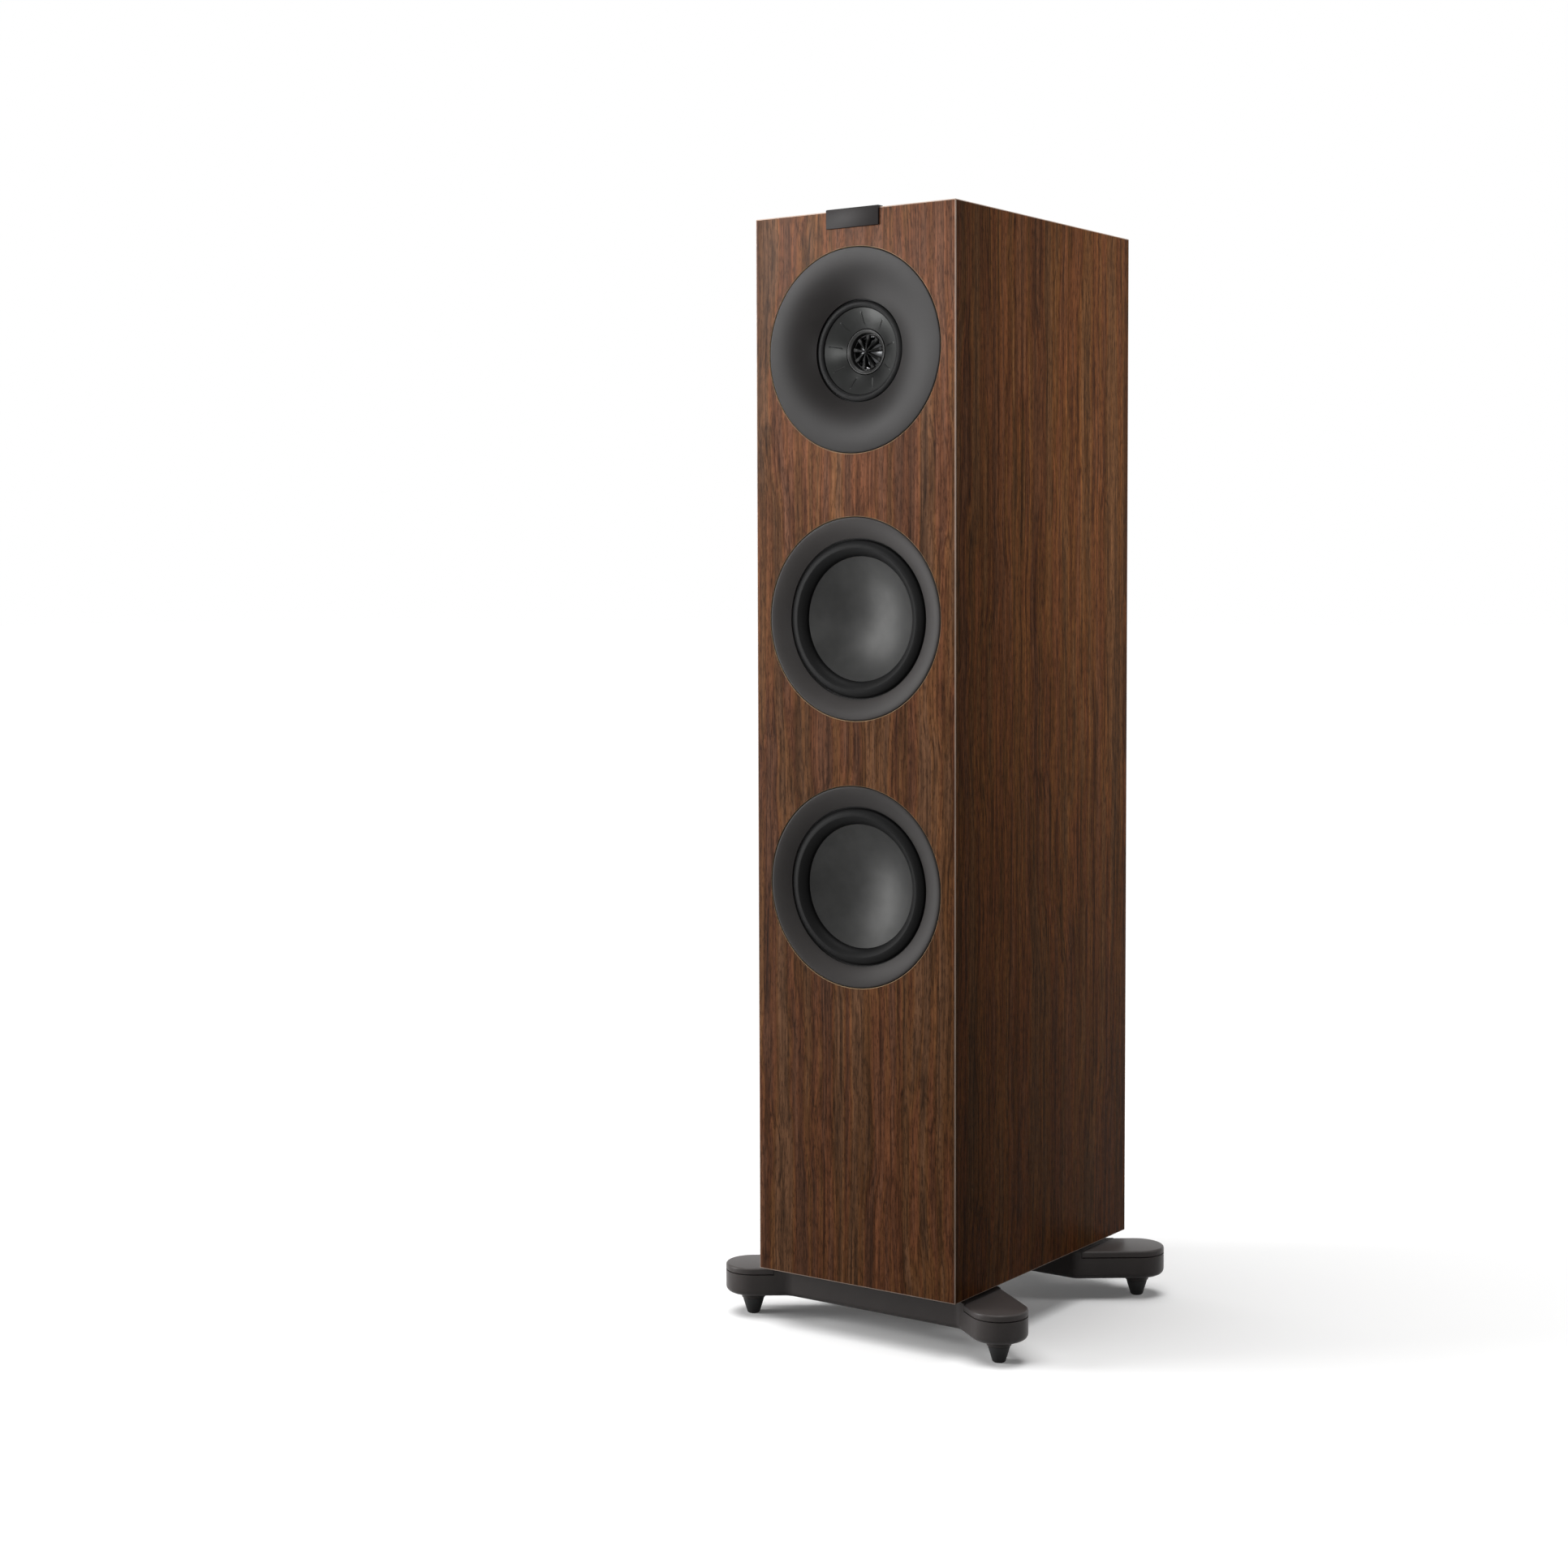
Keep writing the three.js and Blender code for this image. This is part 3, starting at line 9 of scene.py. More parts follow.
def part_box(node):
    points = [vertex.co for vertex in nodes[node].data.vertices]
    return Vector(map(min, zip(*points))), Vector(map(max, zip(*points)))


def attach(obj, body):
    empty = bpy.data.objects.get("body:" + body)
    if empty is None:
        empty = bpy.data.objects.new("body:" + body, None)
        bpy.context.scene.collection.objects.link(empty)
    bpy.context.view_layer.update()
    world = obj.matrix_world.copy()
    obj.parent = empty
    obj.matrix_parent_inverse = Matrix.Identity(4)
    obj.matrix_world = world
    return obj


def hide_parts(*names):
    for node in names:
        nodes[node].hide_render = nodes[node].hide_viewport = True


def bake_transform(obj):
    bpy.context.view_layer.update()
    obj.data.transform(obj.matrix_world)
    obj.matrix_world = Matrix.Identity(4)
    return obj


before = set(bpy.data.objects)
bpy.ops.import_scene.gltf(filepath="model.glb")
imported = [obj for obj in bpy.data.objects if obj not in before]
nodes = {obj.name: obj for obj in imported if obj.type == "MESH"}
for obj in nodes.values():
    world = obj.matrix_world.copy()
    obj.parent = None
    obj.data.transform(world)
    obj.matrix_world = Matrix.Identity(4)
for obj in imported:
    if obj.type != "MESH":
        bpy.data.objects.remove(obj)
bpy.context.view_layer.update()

# Sizes in millimetres: x from the cabinet's middle, depth from the baffle's face, height from the underside.
MM = 0.001
FACE = -156.9  # the face's y in the frame
UNDERSIDE = 52.0  # the underside's z in the frame
WIDTH, DEPTH, HEIGHT = 210.0, 313.8, 952.6
OUTSIDE = ((-WIDTH / 2, WIDTH / 2), (0.0, DEPTH), (0.0, HEIGHT))
WALLS = ((18.0, 18.0), (22.0, 18.0), (18.0, 18.0))  # thicknesses of the two walls across each axis
EDGE = 0.9  # radius of the cabinet's edges
SEAM = 0.02  # each wall's share of the gap at a mitre
COAX, UPPER, LOWER = 830.6, 595.3, 357.9  # heights of the drivers' axes
TERMINALS = 118.107  # height of the terminal cup's middle
FINE = 128  # steps round the turned pieces that show
HIDDEN = 96  # steps round those that hardly do


# ---- Mesh building ----

def place(point):
    """A point of the cabinet's millimetres, in metres in the frame."""
    x, depth, height = point
    return Vector((x, depth + FACE, height + UNDERSIDE)) * MM


def linked(name, data):
    obj = bpy.data.objects.new(name, data)
    bpy.context.scene.collection.objects.link(obj)
    return obj


def tidy(obj, sharp):
    """Turns the faces outwards and smooths them, up to an angle in degrees."""
    bm = bmesh.new()
    bm.from_mesh(obj.data)
    bmesh.ops.recalc_face_normals(bm, faces=bm.faces)
    bm.to_mesh(obj.data)
    bm.free()
    obj.data.shade_smooth()
    obj.data.set_sharp_from_angle(angle=radians(sharp))
    return obj


def built(name, points, faces, materials, marks, sharp):
    """A mesh object from points in metres. materials is one or a list, and marks gives each face's index in it."""
    mesh = bpy.data.meshes.new(name)
    mesh.from_pydata(points, [], faces)
    for material in materials if isinstance(materials, list) else [materials]:
        mesh.materials.append(material)
    if marks:
        mesh.polygons.foreach_set("material_index", marks)
    return tidy(linked(name, mesh), sharp)


def make(name, points, faces, materials, marks=None, sharp=32):
    """A mesh object from points in the cabinet's millimetres."""
    return built(name, [place(p) for p in points], faces, materials, marks, sharp)


def sleeve(rings, count, closed=False):
    """Faces between rings of count points each. The ends get a face, or join up where closed."""
    faces = []
    for ring in range(rings if closed else rings - 1):
        low, high = ring * count, (ring + 1) % rings * count
        faces += [(low + k, low + (k + 1) % count, high + (k + 1) % count, high + k) for k in range(count)]
    if not closed:
        last = (rings - 1) * count
        faces += [tuple(reversed(range(count))), tuple(range(last, last + count))]
    return faces


def rounded(corners, steps):
    """A closed loop of corners (a, b) or (a, b, radius), with the latter turned into arcs."""
    out = []
    for i, corner in enumerate(corners):
        here = Vector(corner[:2])
        if len(corner) < 3:
            out.append(tuple(here))
            continue
        radius = corner[2]
        back = (Vector(corners[i - 1][:2]) - here).normalized()
        ahead = (Vector(corners[(i + 1) % len(corners)][:2]) - here).normalized()
        half = back.angle(ahead) / 2
        reach = radius / tan(half)
        centre = here + (back + ahead).normalized() * (radius / sin(half))
        a, b = here + back * reach - centre, here + ahead * reach - centre
        turn = atan2(a.x * b.y - a.y * b.x, a.dot(b))
        for k in range(steps + 1):
            c, s = cos(turn * k / steps), sin(turn * k / steps)
            out.append((centre.x + a.x * c - a.y * s, centre.y + a.x * s + a.y * c))
    return out


def turned(name, loop, height, materials, steps=FINE, x=0.0, y=None, marks=None, arc=None):
    """A closed loop of (radius, depth) turned about Y, or of (radius, height) about Z where y is given.
    marks gives a material index per loop edge. arc gives a sector's two angles."""
    start, stop = arc or (0.0, 2 * pi)
    columns = steps + 1 if arc else steps
    points, rings, faces, indices = [], [], [], []
    for radius, along in loop:
        first = len(points)
        for k in range(1 if radius < 1e-6 else columns):
            angle = start + (stop - start) * k / steps
            across, up = x + radius * sin(angle), radius * cos(angle)
            points.append((across, along, height + up) if y is None else (across, y + up, height + along))
        rings.append(range(first, len(points)))
    for i, ring in enumerate(rings):
        other = rings[(i + 1) % len(rings)]
        if len(ring) == len(other) == 1:
            continue
        for k in range(steps):
            n = (k + 1) % columns
            face = ring[k % len(ring)], ring[n % len(ring)], other[n % len(other)], other[k % len(other)]
            faces.append(list(dict.fromkeys(face)))
            indices.append(marks[i] if marks else 0)
    for side in (0, steps) if arc else ():
        faces.append([ring[side % len(ring)] for ring in rings])
        indices.append(0)
    return make(name, points, faces, materials, indices)


def lathed(name, corners, height, material, steps=HIDDEN, arc_steps=3, **where):
    """A turned piece from its section's corners and their radii."""
    return turned(name, rounded(corners, arc_steps), height, material, steps, **where)


def lofted(name, outline, levels, material, lay, sharp=32):
    """Rings of one outline at several levels (along, inset), closed at both ends. lay gives the point."""
    points = [lay(a, b, along) for along, inset in levels for a, b in outline(inset)]
    return make(name, points, sleeve(len(levels), len(points) // len(levels)), material, None, sharp)


def boolean(obj, tools, operation="DIFFERENCE", sharp=32):
    """Cuts tools out of obj, or joins them to it, and removes them."""
    for tool in tools:
        modifier = obj.modifiers.new("join", "BOOLEAN")
        modifier.operation = operation
        modifier.solver = "EXACT"
        modifier.object = tool
    graph = bpy.context.evaluated_depsgraph_get()
    mesh = bpy.data.meshes.new_from_object(obj.evaluated_get(graph))
    obj.modifiers.clear()
    obj.data = mesh
    for tool in tools:
        bpy.data.objects.remove(tool)
    return tidy(obj, sharp)


def merged(name, objects, sharp=32):
    """Several meshes as one piece, each keeping its materials."""
    materials, points, faces, marks = [], [], [], []
    for obj in objects:
        start = len(points)
        points += [v.co.copy() for v in obj.data.vertices]
        materials += [m for m in obj.data.materials if m not in materials]
        for polygon in obj.data.polygons:
            faces.append([start + v for v in polygon.vertices])
            marks.append(materials.index(obj.data.materials[polygon.material_index]))
        bpy.data.objects.remove(obj)
    return built(name, points, faces, materials, marks, sharp)


def dresses(obj, node):
    """obj shows in place of a CAD node, which is hidden."""
    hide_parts(node)


def stands_for(obj, node, body="root"):
    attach(obj, body)
    dresses(obj, node)


def bends_for(obj, node):
    dresses(obj, node)
    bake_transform(obj)


# ---- Materials ----

def rgb(value):
    """A colour, or a grey given as one number, as a triple."""
    return tuple(value) if hasattr(value, "__len__") else (value,) * 3


def scaled(colour, share):
    return [c * share for c in rgb(colour)]


class Nodes:
    """A node tree. Each socket is fed a value or another socket."""

    def __init__(self, tree):
        self.tree = tree

    def feed(self, socket, value):
        if hasattr(value, "is_output"):
            self.tree.links.new(value, socket)
        elif value is not None:
            socket.default_value = value

    def add(self, kind, output, inputs=None, **settings):
        """A new node's output."""
        node = self.tree.nodes.new("ShaderNode" + kind)
        for key, value in settings.items():
            setattr(node, key, value)
        for key, value in (inputs or {}).items():
            self.feed(node.inputs[key], value)
        return node.outputs[output]

    def calc(self, operation, first, second=None):
        return self.add("Math", 0, {0: first, 1: second}, operation=operation)

    def vector(self, operation, output=0, **inputs):
        """A vector operation on first and second, or on first and Scale."""
        places = {"first": 0, "second": 1}
        return self.add("VectorMath", output, {places.get(k, k): v for k, v in inputs.items()}, operation=operation)

    def multiplied(self, colour, layer, share=1.0):
        colours = {0: share, 6: colour, 7: layer}
        return self.add("Mix", 2, colours, data_type="RGBA", blend_type="MULTIPLY")

    def ramp(self, source, *stops):
        """Steps from a value to colours or greys, as (position, colour) pairs."""
        node = self.tree.nodes.new("ShaderNodeValToRGB")
        elements = node.color_ramp.elements
        for _ in stops[2:]:
            elements.new(0.5)
        for element, (position, colour) in zip(elements, stops):
            element.position = position
            element.color = (*rgb(colour), 1)
        self.feed(node.inputs["Fac"], source)
        return node.outputs["Color"]


class Finish(Nodes):
    """A material whose pattern runs in the part's own metres."""

    def __init__(self, name, colour, roughness, metallic=0.0, specular=0.5):
        self.material = bpy.data.materials.new(name)
        self.material.use_nodes = True
        super().__init__(self.material.node_tree)
        self.shader = self.tree.nodes["Principled BSDF"].inputs
        self.shader["Base Color"].default_value = (*rgb(colour), 1)
        self.shader["Roughness"].default_value = roughness
        self.shader["Metallic"].default_value = metallic
        self.shader["Specular IOR Level"].default_value = specular
        self.coordinates = self.add("TexCoord", "Object")

    def mapped(self, scale, location, source=None):
        return self.add("Mapping", 0, {"Vector": source or self.coordinates, "Scale": scale, "Location": location})

    def noise(self, scale, stretch=(1, 1, 1), detail=3.0, rough=0.55, source=None, distortion=0.0,
              location=(0, 0, 0)):
        return self.add("TexNoise", "Fac", {
            "Vector": self.mapped(stretch, location, source), "Scale": scale, "Detail": detail,
            "Roughness": rough, "Distortion": distortion})

    def finished(self, colour, rough, low, high, relief, strength, distance):
        """The material with its colour, a roughness between two levels and a bump."""
        self.feed(self.shader["Base Color"], colour)
        levels = {"Value": rough, "To Min": low, "To Max": high}
        self.feed(self.shader["Roughness"], self.add("MapRange", "Result", levels))
        bump = {"Height": relief, "Strength": strength, "Distance": distance}
        self.feed(self.shader["Normal"], self.add("Bump", "Normal", bump))
        return self.material


def walnut(name, along, place_in_log=(0, 0, 0), specular=0.035, shade_tint=None, painted_shade_until=None):
    """Walnut-grain wrap along one axis: bands of tone and hue, streaks, fine lines and short pores. A darker tint and a
    darkened band behind the front edge can be added; both are painted shade.
    """
    m = Finish(name, (0.106, 0.043, 0.018), 0.37, specular=specular)

    def pattern(across, length, detail, source, rough=0.55, location=(0, 0, 0)):
        stretch = [length if k == along else across for k in range(3)]
        return m.noise(1.0, stretch, detail, rough, source, location=location)

    moved = m.mapped((1, 1, 1), place_in_log)
    sway = pattern(6, 2.2, 3, moved, 0.6)
    swayed = m.add("CombineXYZ", 0, {k: sway for k in range(3) if k != along})
    warped = m.vector("ADD", first=moved, second=m.vector("SCALE", first=swayed, Scale=0.045))
    lines = pattern(520, 9, 4, warped, 0.65)
    pores = pattern(850, 150, 2, moved)
    hues = pattern(75, 1.4, 2, warped, location=(3, 5, 7))
    veins = pattern(70, 0.9, 2, warped, location=(9, 2, 4))
    layers = (
        (0.9, pattern(22, 0.8, 2, warped), (0.36, 0.80), (0.5, 1.0), (0.64, 1.18)),
        (0.8, pattern(190, 2.4, 3, warped), (0.36, 0.54), (0.48, 0.98), (0.64, 1.36)),
        (0.9, lines, (0.36, 0.48), (0.50, 1.0), (0.66, 1.38)),
        (0.8, m.calc("ABSOLUTE", m.calc("SUBTRACT", veins, 0.5)), (0.0, 0.34), (0.016, 1.0)),
        (0.8, pores, (0.36, 0.46), (0.46, 1.0), (0.7, 1.14)),
        (0.8, pattern(240, 90, 3, moved), (0.36, 0.84), (0.64, 1.14)),
    )
    colour = m.ramp(hues, (0.38, (0.106, 0.050, 0.025)), (0.47, (0.112, 0.047, 0.018)),
                    (0.55, (0.108, 0.040, 0.018)), (0.62, (0.100, 0.043, 0.023)))
    for share, source, *stops in layers:
        colour = m.multiplied(colour, m.ramp(source, *stops), share)
    # Painted shade: the tint darkens green and blue for a panel that gets less light
    if shade_tint:
        colour = m.multiplied(colour, (*shade_tint, 1))
    # Painted shade: the wood is darkest near the front edge and fades back to its own colour about 90 mm behind it
    if painted_shade_until:
        behind = m.calc("ADD", m.add("SeparateXYZ", "Y", {0: warped}), -painted_shade_until)
        shade = m.ramp(m.calc("MULTIPLY", behind, 10.0), (0.0, 0.62), (0.35, 0.80), (0.9, 1.0))
        colour = m.multiplied(colour, shade)
    relief = m.calc("MULTIPLY", lines, m.calc("MINIMUM", m.calc("MULTIPLY", pores, 2.2), 1.0))
    return m.finished(colour, lines, 0.31, 0.44, relief, 0.3, 0.0002)


def plain(name, colour, roughness, speckle=900, spread=0.1, metallic=0.0, specular=0.5, depth=0.00008):
    """A moulded, coated or rubber surface: faint cloudiness, a fine skin and roughness that varies."""
    m = Finish(name, colour, roughness, metallic, specular)
    cloud, fine = m.noise(35, detail=4), m.noise(speckle, detail=2)
    tone = m.ramp(cloud, (0.35, scaled(colour, 1 - spread)), (0.65, scaled(colour, 1 + spread)))
    fleck = m.ramp(fine, (0.3, 1 - spread / 2), (0.7, 1 + spread / 2))
    return m.finished(m.multiplied(tone, fleck), cloud, roughness - 0.05, roughness + 0.05, fine, 0.2, depth)


def turned_metal(name, colour, roughness, height, pitch=0.0009, strength=0.12, metallic=1.0, specular=0.5):
    """Metal with fine rings round a driver's axis, as left by turning or polishing."""
    m = Finish(name, colour, roughness, metallic, specular)
    radius = m.vector("LENGTH", "Value", first=m.mapped((1, 0, 1), (0, 0, -(height + UNDERSIDE) * MM)))
    rings = m.calc("SINE", m.calc("MULTIPLY", radius, 2 * pi / pitch))
    cloud, fine = m.noise(60, detail=3), m.noise(2600, detail=2)
    tone = m.ramp(cloud, (0.3, scaled(colour, 0.9)), (0.7, scaled(colour, 1.1)))
    relief = m.calc("ADD", m.calc("MULTIPLY", rings, 0.5), fine)
    return m.finished(tone, fine, roughness - 0.05, roughness + 0.05, relief, strength, 0.00003)


def turned_steel(name, height):
    return turned_metal(name, (0.45, 0.45, 0.46), 0.35, height, pitch=0.0012)


def grainy(name, colour, roughness, specular, pattern, stops, low, high, strength, distance):
    """A surface of fibres or grains."""
    m = Finish(name, colour, roughness, specular=specular)
    grain = m.noise(**pattern)
    return m.finished(m.ramp(grain, *stops), grain, low, high, grain, strength, distance)


def woven(name, colour):
    """Threads crossing each other."""
    m = Finish(name, colour, 0.9, specular=0.2)
    threads = {"Scale": 420, "Distortion": 0.6, "Vector": m.coordinates}
    weave = m.calc("MULTIPLY", *(m.add("TexWave", "Fac", threads, bands_direction=axis) for axis in "XZ"))
    tone = m.ramp(weave, (0.1, (0.27, 0.16, 0.05)), (0.7, (0.52, 0.36, 0.16)))
    return m.finished(tone, weave, 0.8, 0.95, weave, 0.5, 0.0002)


walnut_front = walnut("walnut_front", 2)
# The side panels take a shaded copy of the walnut: darker and warmer all over, with a band of painted shade behind the
# front edge
walnut_side_shaded = walnut("walnut_side_shaded", 2, (0.9, 0.42, 0.3), specular=0.012, shade_tint=(1.0, 0.93, 0.76), painted_shade_until=0.285)
walnut_along = walnut("walnut_along", 1)
# Painted highlight: a light colour on the rounded cabinet edges, standing in for the light line those edges catch
edge_highlight_paint = plain("walnut_edge_painted_highlight", (0.33, 0.24, 0.19), 0.42, spread=0.12, specular=0.3)
satin = plain("satin_plastic", (0.034, 0.031, 0.030), 0.42, 1600, 0.05, specular=0.11)
flare_satin = plain("flare_plastic", (0.0105, 0.0093, 0.0090), 0.37, 1600, 0.05, specular=0.105)
badge_finish = plain("badge_plastic", (0.016, 0.014, 0.014), 0.42, 1600, 0.05, specular=0.08)
black = plain("black_plastic", 0.012, 0.5, specular=0.2)
guide_black = plain("waveguide_plastic", (0.012, 0.012, 0.0115), 0.32, spread=0.05, specular=0.30)
gloss_black = plain("fin_plastic", 0.004, 0.40, specular=0.07)
rubber = plain("surround_rubber", (0.0040, 0.0040, 0.0041), 0.50, 1400, specular=0.08)
foot_rubber = plain("foot_rubber", 0.008, 0.6, 700, 0.2, specular=0.3)
cast = plain("cast_metal", (0.052, 0.045, 0.043), 0.38, 1300, 0.06, specular=0.19, depth=0.0001)
zinc = plain("zinc_screw", (0.30, 0.30, 0.31), 0.35, spread=0.08, metallic=1.0)
dark_screw = plain("dark_screw", 0.02, 0.4, metallic=0.6)
gold = plain("gold_plate", (0.75, 0.56, 0.25), 0.25, 1200, 0.06, metallic=1.0)
red = plain("red_plastic", (0.45, 0.02, 0.02), 0.3, spread=0.06)
coil_wire = plain("coil_wire", (0.62, 0.27, 0.13), 0.32, spread=0.08, metallic=1.0)
insulation = plain("wire_black", 0.014, 0.45)
insulation_red = plain("wire_red", (0.35, 0.02, 0.02), 0.45)
circuit = plain("circuit_board", (0.03, 0.12, 0.05), 0.4, 300, 0.15)
capacitor_film = plain("capacitor_film", (0.35, 0.06, 0.03), 0.4)
resistor_ceramic = plain("resistor_ceramic", (0.55, 0.53, 0.48), 0.7, spread=0.08)
steel = turned_steel("turned_steel", COAX)
dome_metal = turned_metal("dome_metal", (0.062, 0.063, 0.065), 0.2, COAX, 0.002, 0.03)
copper = turned_metal("copper_winding", (0.65, 0.28, 0.14), 0.35, COAX, 0.0008, 0.4)
midrange_metal = turned_metal("midrange_metal", (0.0245, 0.025, 0.0245), 0.30, COAX, strength=0.05, metallic=0.9,
                              specular=0.1)
bass_metal = {height: turned_metal("cone_metal_" + label, (0.0290, 0.0290, 0.0285), 0.42, height, strength=0.05,
                                   metallic=0.9, specular=0.08)
              for label, height in (("upper", UPPER), ("lower", LOWER))}
fibreboard = grainy("fibreboard", (0.35, 0.24, 0.14), 0.85, 0.2, {"scale": 500, "stretch": (1, 1, 3), "detail": 5},
                    ((0.3, (0.26, 0.17, 0.09)), (0.55, (0.36, 0.25, 0.15)), (0.75, (0.44, 0.32, 0.20))),
                    0.75, 0.92, 0.4, 0.0004)
ferrite = grainy("ferrite", (0.03, 0.03, 0.032), 0.6, 0.4, {"scale": 700, "detail": 4},
                 ((0.35, (0.018, 0.018, 0.02)), (0.65, (0.05, 0.05, 0.052))), 0.5, 0.72, 0.3, 0.0002)
fleece = grainy("wadding", (0.75, 0.73, 0.68), 0.95, 0.15,
                {"scale": 240, "stretch": (1, 1, 0.4), "detail": 6, "rough": 0.7, "distortion": 1.5},
                ((0.3, (0.60, 0.58, 0.53)), (0.6, (0.80, 0.78, 0.74))), 0.9, 1.0, 0.8, 0.0015)
fleece.node_tree.nodes["Principled BSDF"].inputs["Sheen Weight"].default_value = 0.3
cloth = woven("spider_cloth", (0.45, 0.30, 0.12))


# ---- Cabinet ----

def panel(name, axis, end, material):
    """A mitred wall. Its outer edges are rounded up to the mitre, where its neighbour takes over."""
    others = [k for k in range(3) if k != axis]
    arc_steps = 3
    levels = []
    for i in range(arc_steps + 1):
        turn = pi / 4 * i / arc_steps
        inset = EDGE * (1 - sin(turn)) + SEAM
        levels.append((EDGE * (1 - cos(turn)), [(inset, inset), (inset, inset)]))
    levels.append((WALLS[axis][end], [[wall + SEAM for wall in WALLS[k]] for k in others]))
    points = []
    for depth, insets in levels:
        for sides in ((0, 0), (1, 0), (1, 1), (0, 1)):
            point = [0.0, 0.0, 0.0]
            point[axis] = OUTSIDE[axis][end] + (-depth if end else depth)
            for k, side, inset in zip(others, sides, insets):
                point[k] = OUTSIDE[k][side] + (-inset[side] if side else inset[side])
            points.append(point)
    # The rounded edges take the painted-highlight edge colour
    marks = [1] * 4 * arc_steps + [2] * 4 + [0, 2]
    return make(name, points, sleeve(len(levels), 4), [material, edge_highlight_paint, fibreboard], marks, 20)


def rounded_box(width, height, radius, steps=6):
    """A function that gives a rounded rectangle, drawn in by an inset."""
    def outline(inset):
        a, b, r = width / 2 - inset, height / 2 - inset, max(radius - inset, 0.05)
        return rounded([(-a, -b, r), (a, -b, r), (a, b, r), (-a, b, r)], steps)
    return outline


def upright(height):
    """Lays an outline of x and z out at a depth."""
    return lambda a, b, along: (a, along, height + b)


def baffle():
    """The baffle, with a rebate and a hole for each driver and a small chamfer round each rebate."""
    rim, start, end = 90.2, -3, 30
    tools = []
    for height, rebate, throat in ((COAX, 14.2, 56.6), (UPPER, 11.2, 75.0), (LOWER, 11.2, 75.0)):
        loop = [(0, start), (rim + 0.8, start), (rim + 0.4, -0.05), (rim, 0.4), (rim, rebate), (throat, rebate),
                (throat, end), (0, end)]
        tools.append(turned("tool", loop, height, fibreboard))
    return boolean(panel("walnut_baffle", 1, 0, walnut_front), tools, sharp=20)


def back():
    """The back, with a hole for each port and one for the terminal cup."""
    start, end, port = 290, 320, 38.3
    loop = [(0, start), (port, start), (port, end), (0, end)]
    tools = [turned("tool", loop, height, fibreboard) for height in (UPPER, LOWER)]
    tools.append(lofted("tool", rounded_box(90.6, 62.6, 12), [(start, 0), (end, 0)], fibreboard,
                        upright(TERMINALS)))
    return boolean(panel("walnut_back", 1, 1, walnut_front), tools, sharp=20)


def add_cabinet():
    stands_for(baffle(), "front_baffle")
    stands_for(panel("walnut_left", 0, 0, walnut_side_shaded), "left_side_panel")
    stands_for(panel("walnut_right", 0, 1, walnut_side_shaded), "right_side_panel")
    stands_for(panel("walnut_bottom", 2, 0, walnut_along), "bottom_panel")
    stands_for(panel("walnut_top", 2, 1, walnut_along), "top_panel")
    stands_for(back(), "back_panel")
    for name in ("chamber_shelf", "upper_brace", "lower_brace"):
        nodes[name].data.materials.clear()
        nodes[name].data.materials.append(fibreboard)


def add_badge():
    """A bare plate clipped over the top edge, with softened edges."""
    half, front, rear, low, top = 27.5, -2.0, 6.2, HEIGHT - 15.5, HEIGHT + 1.5
    section = rounded([(front, low, 0.5), (-0.3, low, 0.2), (-0.3, HEIGHT + 0.3), (rear, HEIGHT + 0.3, 0.2),
                       (rear, top, 0.5), (front, top, 0.8)], 3)
    ends = ((-half, 0.5), (-half + 0.15, 0.15), (-half + 0.5, 0))
    levels = ends + tuple((-along, inset) for along, inset in reversed(ends))

    def outline(inset):
        """The section with its outer sides drawn in."""
        return [(a - inset * copysign(1, a + 1) * (a < -1 or a > 5.5),
                 b - inset * (1 if b > HEIGHT + 1 else -1) * (b > HEIGHT + 1 or b < low + 1)) for a, b in section]

    badge = lofted("badge", outline, levels, badge_finish, lambda a, b, along: (along, a, b), 40)
    stands_for(badge, "badge_plate")


# ---- Drivers. Radii are from the axis and depths from the baffle's face. ----

BASS = {
    "cone": 55.3, "edge": 10.7, "crest": 2.9,
    "surround": {"outer": 70.7, "flange": 0.6, "thickness": 0.9, "back": 9.0, "drop": 2.2, "roll": 5.2},
    "coil": {"skin": 1.0, "former": 17.0, "coil": 17.5, "start": 48.3, "end": 58.3},
    "spider": {"inner": 17.4, "outer": 45.6, "depth": 38.0, "wave": 1.6},
    "chassis": {"flange": 7.9, "ledge": 9.3, "ledge_radius": 70.8, "throat": 66.8, "wall": 69.8,
                "seat_radius": 41, "seat": 47, "seat_hole": 22.0, "window": (34, 18, 20)},
    "motor": {"front": 50.3, "radius": 42, "bore": 17.9, "magnet_bore": 24.0, "magnet": 15, "pole": 15.9,
              "vent": 5, "pole_front": 50.0},
}
MID = {
    "cone": 38.0, "edge": 11.2, "crest": 9.1,
    "surround": {"outer": 45.6, "flange": 1.2, "thickness": 0.8, "back": 11.8, "drop": -0.2, "roll": 1.9},
    "coil": {"skin": 0.8, "former": 21.1, "coil": 21.5, "start": 45.8, "end": 54.8},
    "spider": {"inner": 21.5, "outer": 39.8, "depth": 33.0, "wave": 1.2},
    "chassis": {"flange": 10.9, "ledge": 12.1, "ledge_radius": 46.1, "throat": 42.6, "wall": 49.0,
                "seat_radius": 38, "seat": 41, "seat_hole": 25.0, "window": (20, 18, 15)},
    "motor": {"front": 44.3, "radius": 40, "bore": 21.9, "magnet_bore": 27.0, "magnet": 14, "pole": 19.5,
              "vent": 6, "pole_front": 40.2},
}
RING_OUTER = 89.75


def ring_profile(inner, depth, power, back, rim, steps=28):
    """A trim ring's section: a rounded rim, then a front that falls to the inner edge."""
    flat = RING_OUTER - rim
    shares = [i / steps for i in range(steps + 1)]
    front = [(flat + (inner - flat) * share, depth * share ** power) for share in shares]
    corner = rounded([(RING_OUTER, back), (RING_OUTER, 0, rim), front[1]], 6)[1:-1]
    return corner + front[1:] + [(inner, depth + 0.9), (inner + 0.3, back), (RING_OUTER, back)]


